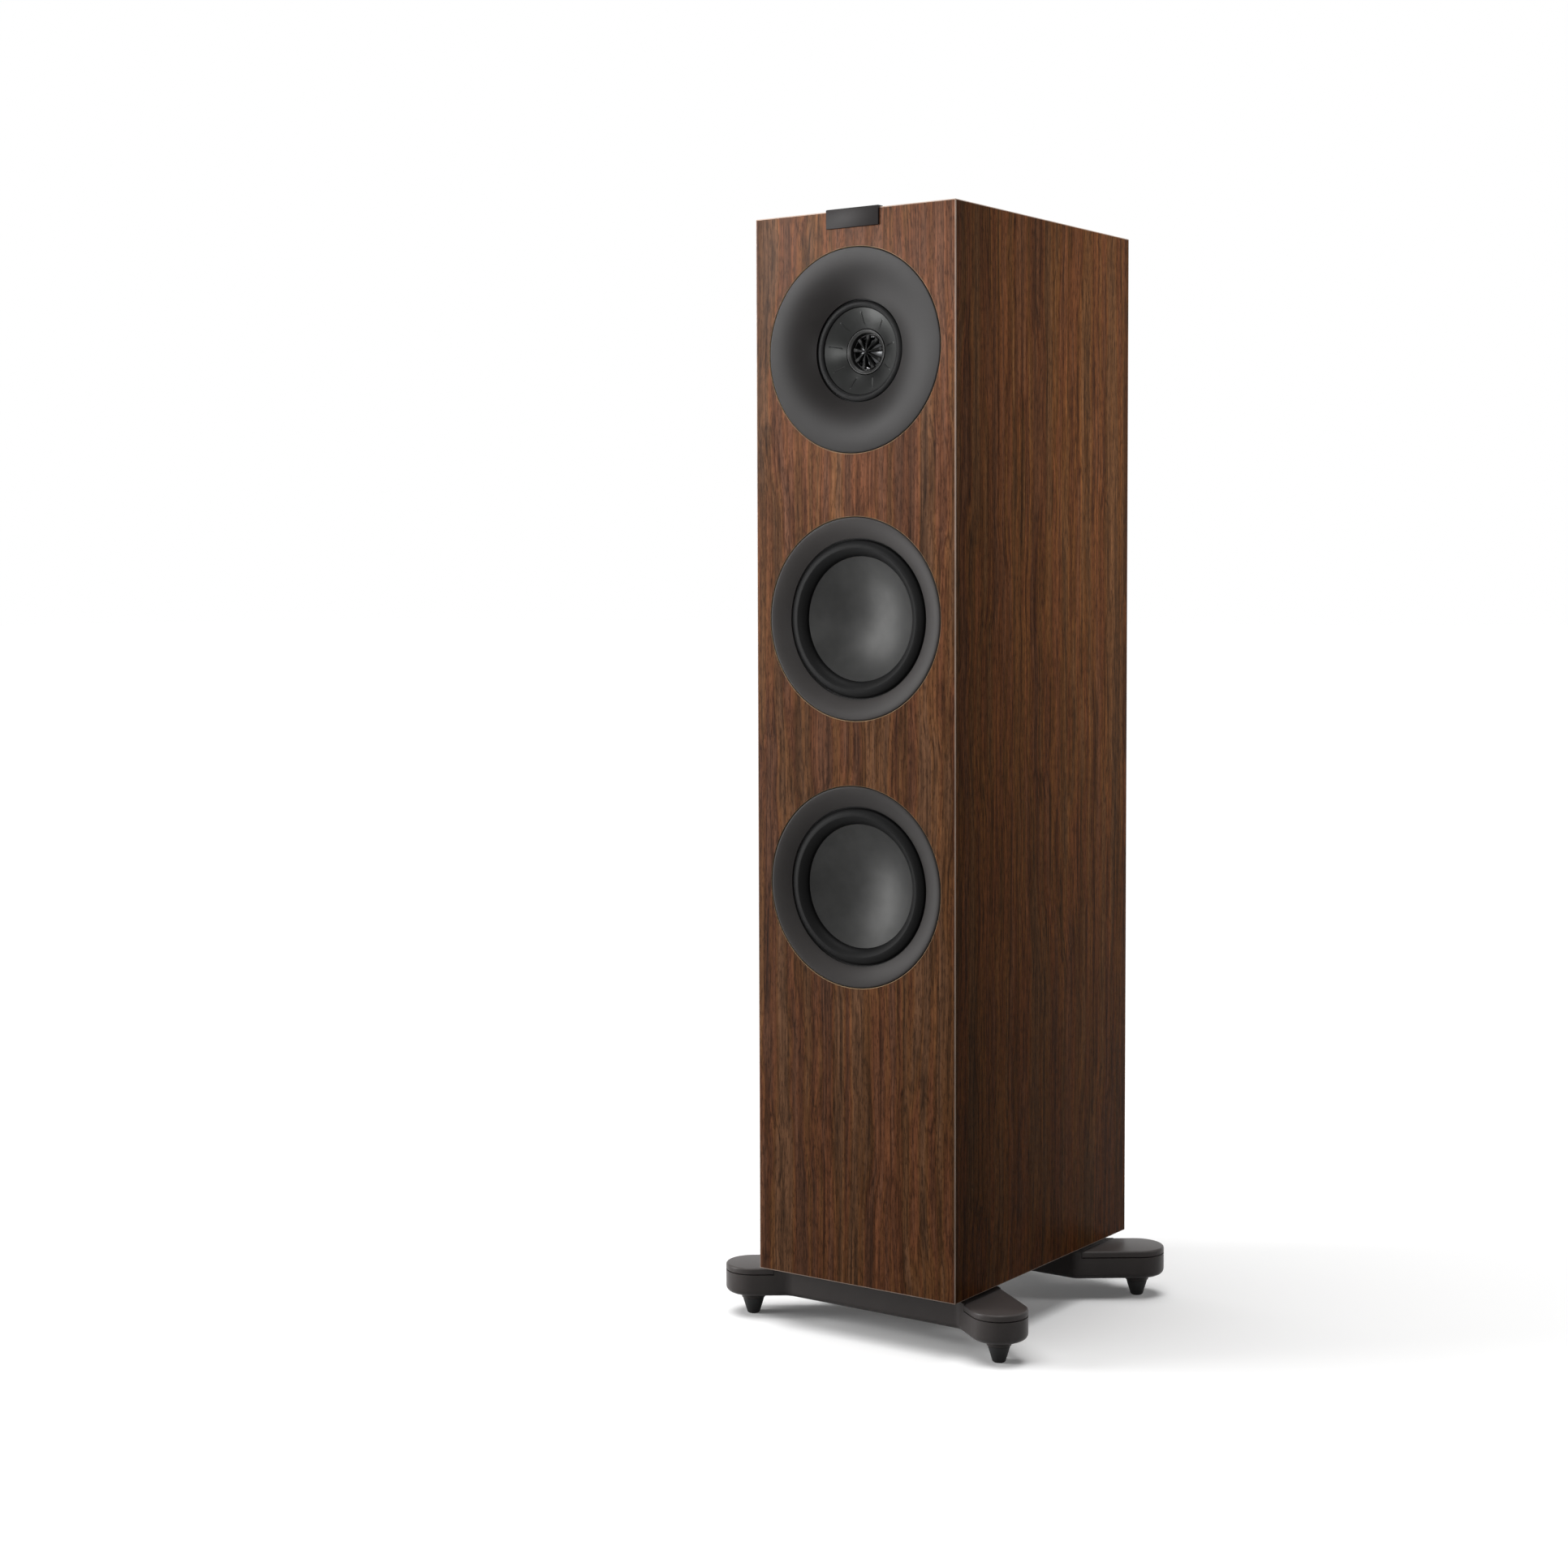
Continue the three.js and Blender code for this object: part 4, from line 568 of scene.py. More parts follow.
def roll_points(cone, part, outer, flange, thickness, back, drop, roll):
    """A surround's section, from its flange to its crest or from there to its inner edge."""
    inner = cone + 0.25
    centre, half = (outer - flange + inner) / 2, (outer - flange - inner) / 2
    steps = 14
    start = 0.0 if part == "outer" else pi / 2
    angles = [start + pi / 2 * i / steps for i in range(steps + 1)]

    def section(radius_x, radius_y, base, angles):
        out = []
        for angle in angles:
            radius = centre + radius_x * cos(angle)
            out.append((radius, base - radius_y * sin(angle) + max(0.0, (centre - radius) / half) * drop))
        return out

    front = section(half, roll, back - thickness, angles)
    rear = section(half - thickness, roll - thickness / 2, back, angles[::-1])
    if part == "outer":
        return [(outer, back), (outer, back - thickness), *front, *rear]
    return [*front, (inner, back + drop), *rear]


def add_surround(prefix, driver, height):
    """The outer half stays with the frame. The inner half is a separate piece next to the cone."""
    sizes = driver["surround"]
    outer, inner = (turned(f"{prefix}_surround_{part}", roll_points(driver["cone"], part, **sizes), height, rubber)
                    for part in ("outer", "inner"))
    stands_for(outer, prefix + "_surround")
    start, end = (place((0, depth, height)) for depth in (driver["crest"], sizes["back"] + sizes["drop"] - 0.4))
    bends_for(inner, prefix + "_surround")


def add_spider(prefix, height, inner, outer, depth, wave):
    """A corrugated disc in sectors, each reaching from the chassis wall to the voice coil."""
    steps, sectors, waves, thickness = 40, 12, 4.5, 0.5
    front = []
    for share in (i / steps for i in range(steps + 1)):
        fade = min(1.0, share * 8, (1 - share) * 8)
        front.append((inner + (outer - inner) * share, depth + wave * fade * sin(2 * pi * waves * share)))
    loop = front + [(radius, d + thickness) for radius, d in reversed(front)]
    for i in range(sectors):
        arc = [2 * pi * (i + k) / sectors for k in (0, 1)]
        middle = sum(arc) / 2
        start, end = (place((r * sin(middle), depth, height + r * cos(middle))) for r in (outer - 2, inner + 1))
        sector = turned(f"{prefix}_spider_{i + 1}", loop, height, cloth, 6, arc=arc)
        bends_for(sector, prefix + "_spider")


def coil_loop(face, skin, former, coil, start, end):
    """A cone's section behind its face: down the former, round the coil and back. Marks: 0 cone, 1 former, 2 coil."""
    tail, wall = end + 0.7, 0.6
    loop = [(former, face(former) + skin), (former, start), (coil, start), (coil, end), (former, end),
            (former, tail), (former - wall, tail)]
    return loop, [1, 2, 2, 2, 1, 1, 1]


def add_chassis(name, height, flange, ledge, ledge_radius, throat, wall, seat_radius, seat, seat_hole, window):
    """A basket: flange, ledge, sloping wall with six windows, and the magnet's seat."""
    rim, thickness, windows = 86.0, 3, 6
    back = flange + thickness
    basket = lathed(name + "_basket", [
        (rim, flange, 0.5), (ledge_radius, flange, 0.3), (ledge_radius, ledge), (throat, ledge, 0.4),
        (throat, back), (seat_radius, seat, 2), (seat_hole, seat, 0.4), (seat_hole, seat + thickness, 0.4),
        (seat_radius + 3, seat + thickness, 3), (wall, back, 1.5), (rim, back, 0.8)], height, black)
    width, start, length = window
    outline = rounded([(a, depth, 4) for a, depth in (
        (-width / 2, start), (width / 2, start), (width / 2, start + length), (-width / 2, start + length))], 4)
    tools = []
    for i in range(windows):
        c, s = (f(pi * (2 * i + 1) / windows) for f in (cos, sin))
        tools.append(lofted("tool", lambda inset: outline, [(2.0, 0), (100.0, 0)], black,
                            lambda a, depth, reach: (a * c + reach * s, depth, height + reach * c - a * s)))
    stands_for(boolean(basket, tools), name + "_chassis")


def add_motor(prefix, height, front, radius, bore, magnet_bore, magnet, pole, vent, pole_front):
    """Front plate, ring magnet and yoke with its pole, with turned chamfers."""
    plate, gap, overhang = 6, 0.3, 3
    back = front + plate
    turning = turned_steel(prefix + "_steel", height)
    corners = [(bore, front, 0.4), (radius, front, 1), (radius, back, 1), (bore, back, 0.4)]
    stands_for(lathed(prefix + "_top_plate", corners, height, turning), prefix + "_front_plate")
    front, outer = back + gap, radius + overhang
    back = front + magnet
    corners = [(magnet_bore, front, 0.8), (outer, front, 1.2), (outer, back, 1.2), (magnet_bore, back, 0.8)]
    stands_for(lathed(prefix + "_ferrite", corners, height, ferrite), prefix + "_magnet")
    front = back + gap
    back = front + plate
    corners = [(vent, pole_front, 0.6), (pole, pole_front, 0.6), (pole, front), (radius, front, 1),
               (radius, back, 1.5), (vent, back, 1.5)]
    stands_for(lathed(prefix + "_pole", corners, height, turning), prefix + "_yoke")


def add_works(prefix, chassis, driver, height):
    """What holds and drives a cone."""
    add_spider(prefix, height, **driver["spider"])
    add_chassis(chassis, height, **driver["chassis"])
    add_motor(prefix, height, **driver["motor"])


def bass_face(radius):
    return BASS["edge"] + 15 * (1 - (radius / BASS["cone"]) ** 2)


def add_bass(prefix, height):
    ring = turned(prefix + "_ring", ring_profile(71.5, 6.0, 1.6, 7.6, 1.3), height, satin, 160)
    stands_for(ring, prefix + "_trim_ring")
    add_surround(prefix, BASS, height)
    steps, first_rear, skin = 28, 9, BASS["coil"]["skin"]
    radii = [BASS["cone"] * i / steps for i in range(steps + 1)]
    front = [(radius, bass_face(radius)) for radius in radii]
    rear = [(radius, depth + skin) for radius, depth in reversed(front[first_rear:])]
    tail, tail_marks = coil_loop(bass_face, **BASS["coil"])
    inner = tail[-1][0]
    tail += [(inner, bass_face(inner) + skin), (0, bass_face(0) + skin)]
    marks = [0] * (len(front) + len(rear)) + tail_marks + [0, 0]
    cone = turned(prefix + "_bowl", front + rear + tail, height, [bass_metal[height], black, copper], marks=marks)
    stands_for(cone, prefix + "_cone", prefix + "_cone")
    add_works(prefix, prefix, BASS, height)


MID_THROAT, RIBS = 20.5, 9


def mid_face(radius):
    share = (MID["cone"] - radius) / (MID["cone"] - MID_THROAT)
    return MID["edge"] + 8.8 * share - 0.5 * sin(pi * share)


def add_midrange_cone():
    """The cone's face as a grid whose columns crowd together at the raised ribs, over a turned back."""
    spread = ((-1.5, 0), (-0.62, 0), (-0.2, 0.8), (0.0, 1.0), (0.2, 0.8), (0.62, 0), (1.5, 0))
    between, rows, rear_steps = 9, 30, 12
    columns = []
    for rib in range(RIBS):
        columns += [(rib / RIBS, offset, lift) for offset, lift in spread]
        columns += [((rib + (k + 1) / (between + 1)) / RIBS, 0.0, 0) for k in range(between)]
    points = []

    def add_ring(radius, depth, offset_radius, rise):
        for turn, offset, lift in columns:
            angle = 2 * pi * turn + offset / offset_radius
            points.append((radius * sin(angle), depth - rise * lift, COAX + radius * cos(angle)))

    for row in range(rows + 1):
        share = row / rows
        radius = MID_THROAT + (MID["cone"] - MID_THROAT) * share
        ends = min(1.0, max(0.0, (share - 0.18) / 0.1), max(0.0, (0.82 - share) / 0.1))
        add_ring(radius, mid_face(radius), radius, 0.5 * ends * ends * (3 - 2 * ends))
    tail, tail_marks = coil_loop(mid_face, **MID["coil"])
    radii = [MID["cone"] - 16.9 * i / rear_steps for i in range(rear_steps)]
    rear = [(radius, mid_face(radius) + MID["coil"]["skin"]) for radius in radii]
    for radius, depth in rear + tail:
        add_ring(radius, depth, 30, 0)
    ring_marks = [0] * (rows + 1 + len(rear)) + tail_marks
    marks = [mark for mark in ring_marks for _ in columns]
    faces = sleeve(len(ring_marks), len(columns), closed=True)
    cone = make("midrange_bowl", points, faces, [midrange_metal, black, copper], marks, 25)
    stands_for(cone, "midrange_cone", "midrange_cone")


DOME = 12.7


def dome_face(share):
    """The dome's depth at a share of its radius."""
    return 27.0 - 3.8 * (1 - share ** 2)


def fin(turn):
    """One fin of the phase plug: thicker at the ring, with a rounded front and a back that follows the dome."""
    stations, start, reach, ring_back = 8, 0.4, 14.9, 25.4
    section = ((-0.5, 0.0), (-0.5, -0.7), (-0.3, -1.0), (0.3, -1.0), (0.5, -0.7), (0.5, 0.0))
    points = []
    for share in (i / stations for i in range(stations + 1)):
        radius = start + (reach - start) * share
        back = min(dome_face(radius / DOME) - 0.9, ring_back)
        for a, b in section:
            across = a * (0.6 + 3.9 * share)
            points.append((radius * sin(turn) + across * cos(turn), back + b * 2.4,
                           COAX + radius * cos(turn) - across * sin(turn)))
    return make("fin", points, sleeve(stations + 1, len(section)), gloss_black, None, 30)


def add_coax():
    flare = turned("coax_flare", ring_profile(45.3, 8.8, 2.3, 10.6, 0.9, 48), COAX, flare_satin, 160)
    stands_for(flare, "coax_trim_flare")
    add_surround("midrange", MID, COAX)
    add_midrange_cone()
    add_works("midrange", "coax", MID, COAX)
    guide = [(19.9, 20.2, 0.5), (19.4, 19.6, 0.4), (16.7, 21.3, 1.2), (16.0, 24.2, 0.5), (16.0, 25.7), (14.2, 25.7),
             (14.2, 30.0), (19.9, 30.0)]
    stands_for(lathed("tweeter_guide", guide, COAX, guide_black, arc_steps=6), "tweeter_waveguide")
    steps, rear_steps, inner, skirt = 20, 8, 12.2, 33.5
    front = [(DOME * i / steps, dome_face(i / steps)) for i in range(steps + 1)]
    rear = [(inner * i / rear_steps, dome_face(i / rear_steps * 0.96) + 0.4) for i in range(rear_steps - 1, -1, -1)]
    loop = front + [(DOME, skirt), (inner, skirt), (inner, 27.4)] + rear
    stands_for(turned("tweeter_cap", loop, COAX, dome_metal, HIDDEN), "tweeter_dome", "tweeter_dome")
    ring = lathed("plug_ring", [(15.6, 24.2, 0.3), (14.2, 24.2, 0.3), (14.2, 25.4), (15.6, 25.4)], COAX, gloss_black)
    tip, bud_radius = dome_face(0) - 0.9, 1.9
    loop = [(0, tip - 3.4)]
    loop += [(bud_radius * sin(a * pi / 16), tip - 2.4 - cos(a * pi / 16)) for a in range(1, 9)]
    bud = turned("plug_bud", loop + [(bud_radius, tip), (0, tip)], COAX, gloss_black, 48)
    fins = [fin(2 * pi * i / RIBS) for i in range(RIBS)]
    stands_for(merged("finned_plug", [ring, bud, *fins], 30), "phase_plug")
    pot = [(0, 30.3), (11.4, 30.3, 0.4), (11.4, 36.3), (13.5, 36.3), (13.5, 30.3, 0.4), (19.2, 30.3, 0.6),
           (19.2, 39.9, 0.8), (0, 39.9)]
    stands_for(lathed("tweeter_pot", pot, COAX, steel), "tweeter_motor")


# ---- Back: ports and terminals ----

PLATE_FACE = DEPTH + 2
PLATE_BACK = DEPTH + 0.1


def screw(x, depth, height, radius, metal):
    """A pan-head screw with a cross recess, its head facing back."""
    steps, standing = 6, 0.9
    angles = [pi / 2 * i / steps for i in range(steps + 1)]
    loop = [(radius * sin(angle), depth + standing * cos(angle)) for angle in angles]
    head = turned("screw", loop + [(radius, depth), (0, depth)], height, metal, 24, x=x)
    levels = [(depth + standing * 0.35, 0), (depth + standing + 1, 0)]
    slots = []
    for wide, tall in ((radius * 1.15, radius * 0.26), (radius * 0.26, radius * 1.15)):
        outline = rounded_box(wide, tall, radius * 0.08, 1)
        slots.append(lofted("slot", outline, levels, metal, lambda a, b, along: (x + a, along, height + b)))
    return boolean(head, slots)


def add_port(name, height):
    """A tube with a flared mouth and a flange on the back panel."""
    bore, mouth, flange, flare, end, steps = 26.0, 38.0, 43.0, 24, PLATE_FACE - 120, 16
    angles = [pi / 2 * i / steps for i in range(steps, -1, -1)]
    loop = [(bore, end)]
    loop += [(mouth + (bore - mouth) * sin(a), PLATE_FACE - flare * (1 - cos(a))) for a in angles]
    loop += rounded([(flange, PLATE_FACE, 0.8), (flange, PLATE_BACK), (mouth, PLATE_BACK)], 3)
    loop += [(31.0, PLATE_FACE - 20), (29.0, PLATE_FACE - 26), (29.0, end)]
    stands_for(turned(name, loop, height, black, HIDDEN), name + "_tube")


def add_terminals():
    """A recessed cup with a stepped flange, four screws and two posts."""
    z, face, floor, sunk = TERMINALS, PLATE_FACE, PLATE_FACE - 30, 1.3
    cup = lofted("terminal_dish", rounded_box(112, 84, 10), [
        (PLATE_BACK, 0), (face - 0.8, 0), (face - 0.2, 0.2), (face, 0.8)], black, upright(z))
    shell = lofted("shell", rounded_box(90, 62, 12), [(floor - 3, 0.6), (floor - 2.4, 0), (DEPTH + 1, 0)], black,
                   upright(z))
    boolean(cup, [shell], "UNION")
    recess = lofted("recess", rounded_box(84, 56, 9), [
        (floor, 2.5), (floor + 0.7, 0.7), (floor + 2.5, 0), (face - 0.8, 0), (face, -0.8), (face + 3, -3)], black,
        upright(z))
    loop = [(0, floor - 8), (3.3, floor - 8), (3.3, floor + 4), (0, floor + 4)]
    bores = [turned("bore", loop, z, black, 32, x=x) for x in (-19, 19)]
    corners = [(x, dz) for x in (-51, 51) for dz in (-37, 37)]
    loop = [(0, face - sunk), (3.0, face - sunk), (3.4, face + 1), (0, face + 1)]
    sinks = [turned("sink", loop, z + dz, black, 32, x=x) for x, dz in corners]
    boolean(cup, [recess, *bores, *sinks])
    stands_for(cup, "terminal_cup")
    heads = [screw(x, face - sunk, z + dz, 2.6, dark_screw) for x, dz in corners]
    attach(merged("terminal_screws", heads), "root")
    for x, label, finish in ((-19, "positive", red), (19, "negative", black)):
        base, start, tip = floor + 0.3, floor + 3.6, face - 3
        post = [(0, floor - 15), (3, floor - 15, 0.4), (3, base), (6, base, 0.4), (6, base + 3, 0.6), (3, base + 3),
                (3, tip, 0.5), (2, tip, 0.3), (2, tip - 14), (0, tip - 14)]
        stands_for(lathed(label + "_post", post, z, gold, 32, x=x), label + "_binding_post")
        washer = [(3.5, start, 0.3), (6.6, start, 0.5), (6.6, start + 2, 0.5), (3.5, start + 2, 0.3)]
        collar = label + "_clamp_collar"
        stands_for(lathed(label + "_washer", washer, z, gold, 48, x=x), collar, collar)
        stands_for(fluted_knob(label + "_grip", x, start + 2.3, z, finish), label + "_knob", label + "_knob")


def fluted_knob(name, x, start, z, finish):
    """A knob with twelve flutes, softened ends, an open bore and a metal insert."""
    flutes, flute_depth, length, insert = 12, 0.6, 13.0, 9
    steps = flutes * 8
    loop = [(3.5, 0.2), (3.7, 0.0), (6.6, 0.0), (7.2, 0.25), (7.6, 0.9), (7.6, length - 1.6), (7.3, length - 0.7),
            (6.4, length), (4.9, length), (4.7, length - 0.5), (3.7, length - 0.5), (3.5, length - 0.7)]
    points = []
    for radius, along in loop:
        for angle in (2 * pi * k / steps for k in range(steps)):
            r = radius - (flute_depth * (1 - cos(flutes * angle)) / 2 if radius > 7.0 else 0.0)
            points.append((x + r * sin(angle), start + along, z + r * cos(angle)))
    marks = [0] * insert * steps + [1] * (len(loop) - insert) * steps
    return make(name, points, sleeve(len(loop), steps, closed=True), [finish, gold], marks, 30)


# ---- Plinth. The front bar's plan is laid out, and turned half round for the rear bar. ----

SPLAY = radians(36.6)
ALONG = Vector((cos(SPLAY), -sin(SPLAY)))
ACROSS = Vector((-ALONG.y, ALONG.x))
ARM_HALF = 25.5
BAR_FRONT, BAR_DEPTH = 26.6, 59.6
FOOT = (132.6, 28.0)
SPACER = (58.0, BAR_FRONT + BAR_DEPTH / 2)
CAP_TOP, CAP_LOW, CAP_START = -4.4, -10.6, 102.6
BAR_LOW, BOSS_LOW = -31.0, -37.0
FAR = 300


def bar_outline(inset):
    """The bar's plan: front face, right arm, inner face, left arm, drawn in by an inset."""
    half, bend = ARM_HALF - inset, 14

    def edge(side):
        return Vector(FOOT) + ACROSS * (side * half)

    def crossing(side, face_y):
        return edge(side) + ALONG * ((face_y - edge(side).y) / ALONG.y)

    right = [(*crossing(-1, BAR_FRONT + inset), bend + inset), (*(edge(-1) + ALONG * half), half - 0.25),
             (*(edge(1) + ALONG * half), half - 0.25), (*crossing(1, BAR_FRONT + BAR_DEPTH - inset), bend - inset)]
    return rounded(right + [(-a, b, r) for a, b, r in reversed(right)], 9)


def edge_levels(face, edge):
    """Levels of a rounded edge, from the flat face to the upright side."""
    steps = 5
    angles = [pi / 2 * i / steps for i in range(steps + 1)]
    return [(face + edge * (1 - cos(angle)), abs(edge) * (1 - sin(angle))) for angle in angles]


def block(low, high):
    points = [(x, y, z) for z in (low[2], high[2])
              for x, y in ((low[0], low[1]), (high[0], low[1]), (high[0], high[1]), (low[0], high[1]))]
    return make("tool", points, sleeve(2, 4), cast)


def add_bar(end, rear):
    """A cast bar on its spacers, with its bolts, arm caps and feet."""
    def lay(a, b, along):
        return (-a, DEPTH - b, along) if rear else (a, b, along)

    def at(side, spot):
        return dict(zip("xy", lay(side * spot[0], spot[1], 0)))

    bar = lofted(end + "_bar", bar_outline, edge_levels(BAR_LOW, 5.2) + [(CAP_TOP, 0)], cast, lay)
    counterbore, top = BAR_LOW + 16, BAR_LOW + 5
    angles = [pi / 2 * i / 8 for i in range(9)]
    fillet = [(18.0 - 7.1 * cos(angle), BOSS_LOW + 6 * sin(angle)) for angle in angles]
    boss = [(0, BOSS_LOW), (10.5, BOSS_LOW), *fillet, (18.0, top), (0, top)]
    spacer = [(0, CAP_TOP - 3), (13, CAP_TOP - 3), (13, -0.1), (0, -0.1)]
    foot_bore = [(0, BOSS_LOW - 4), (4.4, BOSS_LOW - 4), (4.4, -6.0), (0, -6.0)]
    bolt_bore = [(0, BAR_LOW - 4), (7, BAR_LOW - 4), (7, counterbore), (0, counterbore)]
    pockets, joined, bores = [], [], []
    for side in (-1, 1):
        low, high = sorted((side * (CAP_START - 0.3), side * FAR))
        pockets.append(block((low, -FAR, CAP_LOW - 0.3), (high, DEPTH + FAR, 20)))
        foot, bolt = at(side, FOOT), at(side, SPACER)
        joined += [turned("boss", boss, 0, cast, 64, **foot), turned("spacer", spacer, 0, cast, 48, **bolt)]
        bores += [turned("bore", foot_bore, 0, cast, 32, **foot), turned("bore", bolt_bore, 0, cast, 48, **bolt)]
    boolean(bar, pockets)
    boolean(bar, joined, "UNION")
    boolean(bar, bores)
    stands_for(bar, end + "_outrigger")
    head = counterbore - 5
    corners = [(0, counterbore - 0.1), (5.2, counterbore - 0.1), (5.2, head, 0.8), (3.0, head, 0.3),
               (3.0, counterbore - 2.2), (0, counterbore - 2.2)]
    bolts = [lathed("bolt", corners, 0, zinc, 36, **at(side, SPACER)) for side in (-1, 1)]
    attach(merged(end + "_bar_bolts", bolts), "root")
    levels = [(CAP_LOW, 0.8), (CAP_LOW + 0.8, 0), *reversed(edge_levels(CAP_TOP, -2.0))]
    for side in (-1, 1):
        label = end + ("_left" if (side > 0) == rear else "_right")
        cap = lofted(label + "_cap", bar_outline, levels, cast, lay)
        low, high = sorted((at(side, (CAP_START, 0))["x"], at(-side, (FAR, 0))["x"]))
        boolean(cap, [block((low, -FAR, -60), (high, DEPTH + FAR, 60))])
        stands_for(cap, label + "_arm_cap")
        add_foot(label, **at(side, FOOT))


def add_foot(label, x, y):
    """A tapered rubber foot on its threaded stem."""
    top, low, stem = BOSS_LOW - 0.3, -UNDERSIDE, 4.0
    corners = [(0, low), (5.0, low), (5.9, low + 0.9, 0.5), (10.1, top, 0.5), (stem, top), (stem, top + 19, 0.5),
               (stem - 0.6, top + 20, 0.2), (0, top + 20)]
    foot = lathed(label + "_glide", corners, 0, foot_rubber, 64, x=x, y=y)
    stands_for(foot, label + "_foot", label + "_foot")


# ---- Inside ----

def add_wadding():
    """A lumpy pad, drawn in a little from its solid's sides."""
    low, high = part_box("chamber_wadding")
    size = [(b - a) / MM for a, b in zip(low, high)]
    counts = [max(2, round(s / 7)) for s in size]
    points, faces, index = [], [], {}

    def vertex(key):
        if key not in index:
            point = Vector([low[n] / MM + size[n] * (key[n] / counts[n]) for n in range(3)])
            normal = Vector([(a == c) - (a == 0) for a, c in zip(key, counts)])
            lump = 1.6 * noise.noise(point / 22) + 0.8 * noise.noise(point / 7) - 2.6
            moved = point + normal * lump
            index[key] = len(points)
            points.append(moved * MM)
        return index[key]

    for axis in range(3):
        a, b = [n for n in range(3) if n != axis]
        for end in (0, counts[axis]):
            for i in range(counts[a]):
                for j in range(counts[b]):
                    face = []
                    for di, dj in ((0, 0), (1, 0), (1, 1), (0, 1)):
                        key = [end] * 3
                        key[a], key[b] = i + di, j + dj
                        face.append(vertex(tuple(key)))
                    faces.append(face)
    pad = built("fleece_pad", points, faces, fleece, None, 180)
    stands_for(pad, "chamber_wadding")


def tube_along(name, path, radius, material, phase=None, coil=0.0, pitch=0.02, sides=8):
    """A round wire along points in metres, or one that winds round them beside its twin."""
    points, previous, travelled = [], None, 0.0
    for i, here in enumerate(path):
        tangent = (path[min(i + 1, len(path) - 1)] - path[max(i - 1, 0)]).normalized()
        if previous is None:
            normal = tangent.orthogonal().normalized()
        else:
            normal = (previous - tangent * previous.dot(tangent)).normalized()
            travelled += (here - path[i - 1]).length
        previous = normal
        side = tangent.cross(normal)

        def off(angle, distance):
            return (normal * cos(angle) + side * sin(angle)) * distance

        centre = here if phase is None else here + off(2 * pi * travelled / pitch + phase, coil)
        points += [centre + off(2 * pi * k / sides, radius) for k in range(sides)]
    return built(name, points, sleeve(len(path), sides), material, None, 60)


def smooth_path(corners, step):
    """Points close together on a smooth curve through some corners, in metres."""
    corners = [place(corner) for corner in corners]
    out = []
    for i in range(len(corners) - 1):
        p0, p1 = corners[max(i - 1, 0)], corners[i]
        p2, p3 = corners[i + 1], corners[min(i + 2, len(corners) - 1)]
        count = max(2, round((p2 - p1).length / step))
        for t in (k / count for k in range(count)):
            out.append(0.5 * ((2 * p1) + (p2 - p0) * t + (2 * p0 - 5 * p1 + 4 * p2 - p3) * t * t
                              + (3 * p1 - p0 - 3 * p2 + p3) * t ** 3))
    return out + [corners[-1]]


BOARD_MIDDLE, BOARD_FLOOR, BOARD_LOW, BOARD_TOP = 154.8, 18.3, 26.3, 27.9


def wound_coil(x, y):
    """An air-cored coil whose outside and top show their turns of wire, on a black bobbin."""
    wire, bore, outer, low, high = 1.19, 7.0, 19.0, BOARD_TOP + 0.8, BOARD_TOP + 17.0
    layers, turns = round((outer - bore) / wire), round((high - low) / wire)
    bead = [(wire / 2 * cos(a), wire / 2 * (1 - sin(a))) for a in (0.4, 1.57, 2.74)]
    loop = [(bore, low), (outer - wire / 2, low)]
    for k in range(turns):
        middle = low + (high - low) * (k + 0.5) / turns
        loop += [(outer - sunk, middle - along) for along, sunk in bead]
    for k in range(layers):
        middle = outer - (outer - bore) * (k + 0.5) / layers
        loop += [(middle + along, high - sunk) for along, sunk in bead]
    winding = turned("coil", loop, 0, coil_wire, 64, x=x, y=y)
    core = [(5.4, BOARD_TOP), (10.0, BOARD_TOP, 0.3), (10.0, BOARD_TOP + 0.7), (6.9, BOARD_TOP + 0.7),
            (6.9, high - 0.4), (5.4, high - 0.4)]
    return [winding, lathed("bobbin", core, 0, black, 48, 2, x=x, y=y)]


def lead(corners):
    return tube_along("lead", smooth_path(corners, 0.0015), 0.0005, zinc)


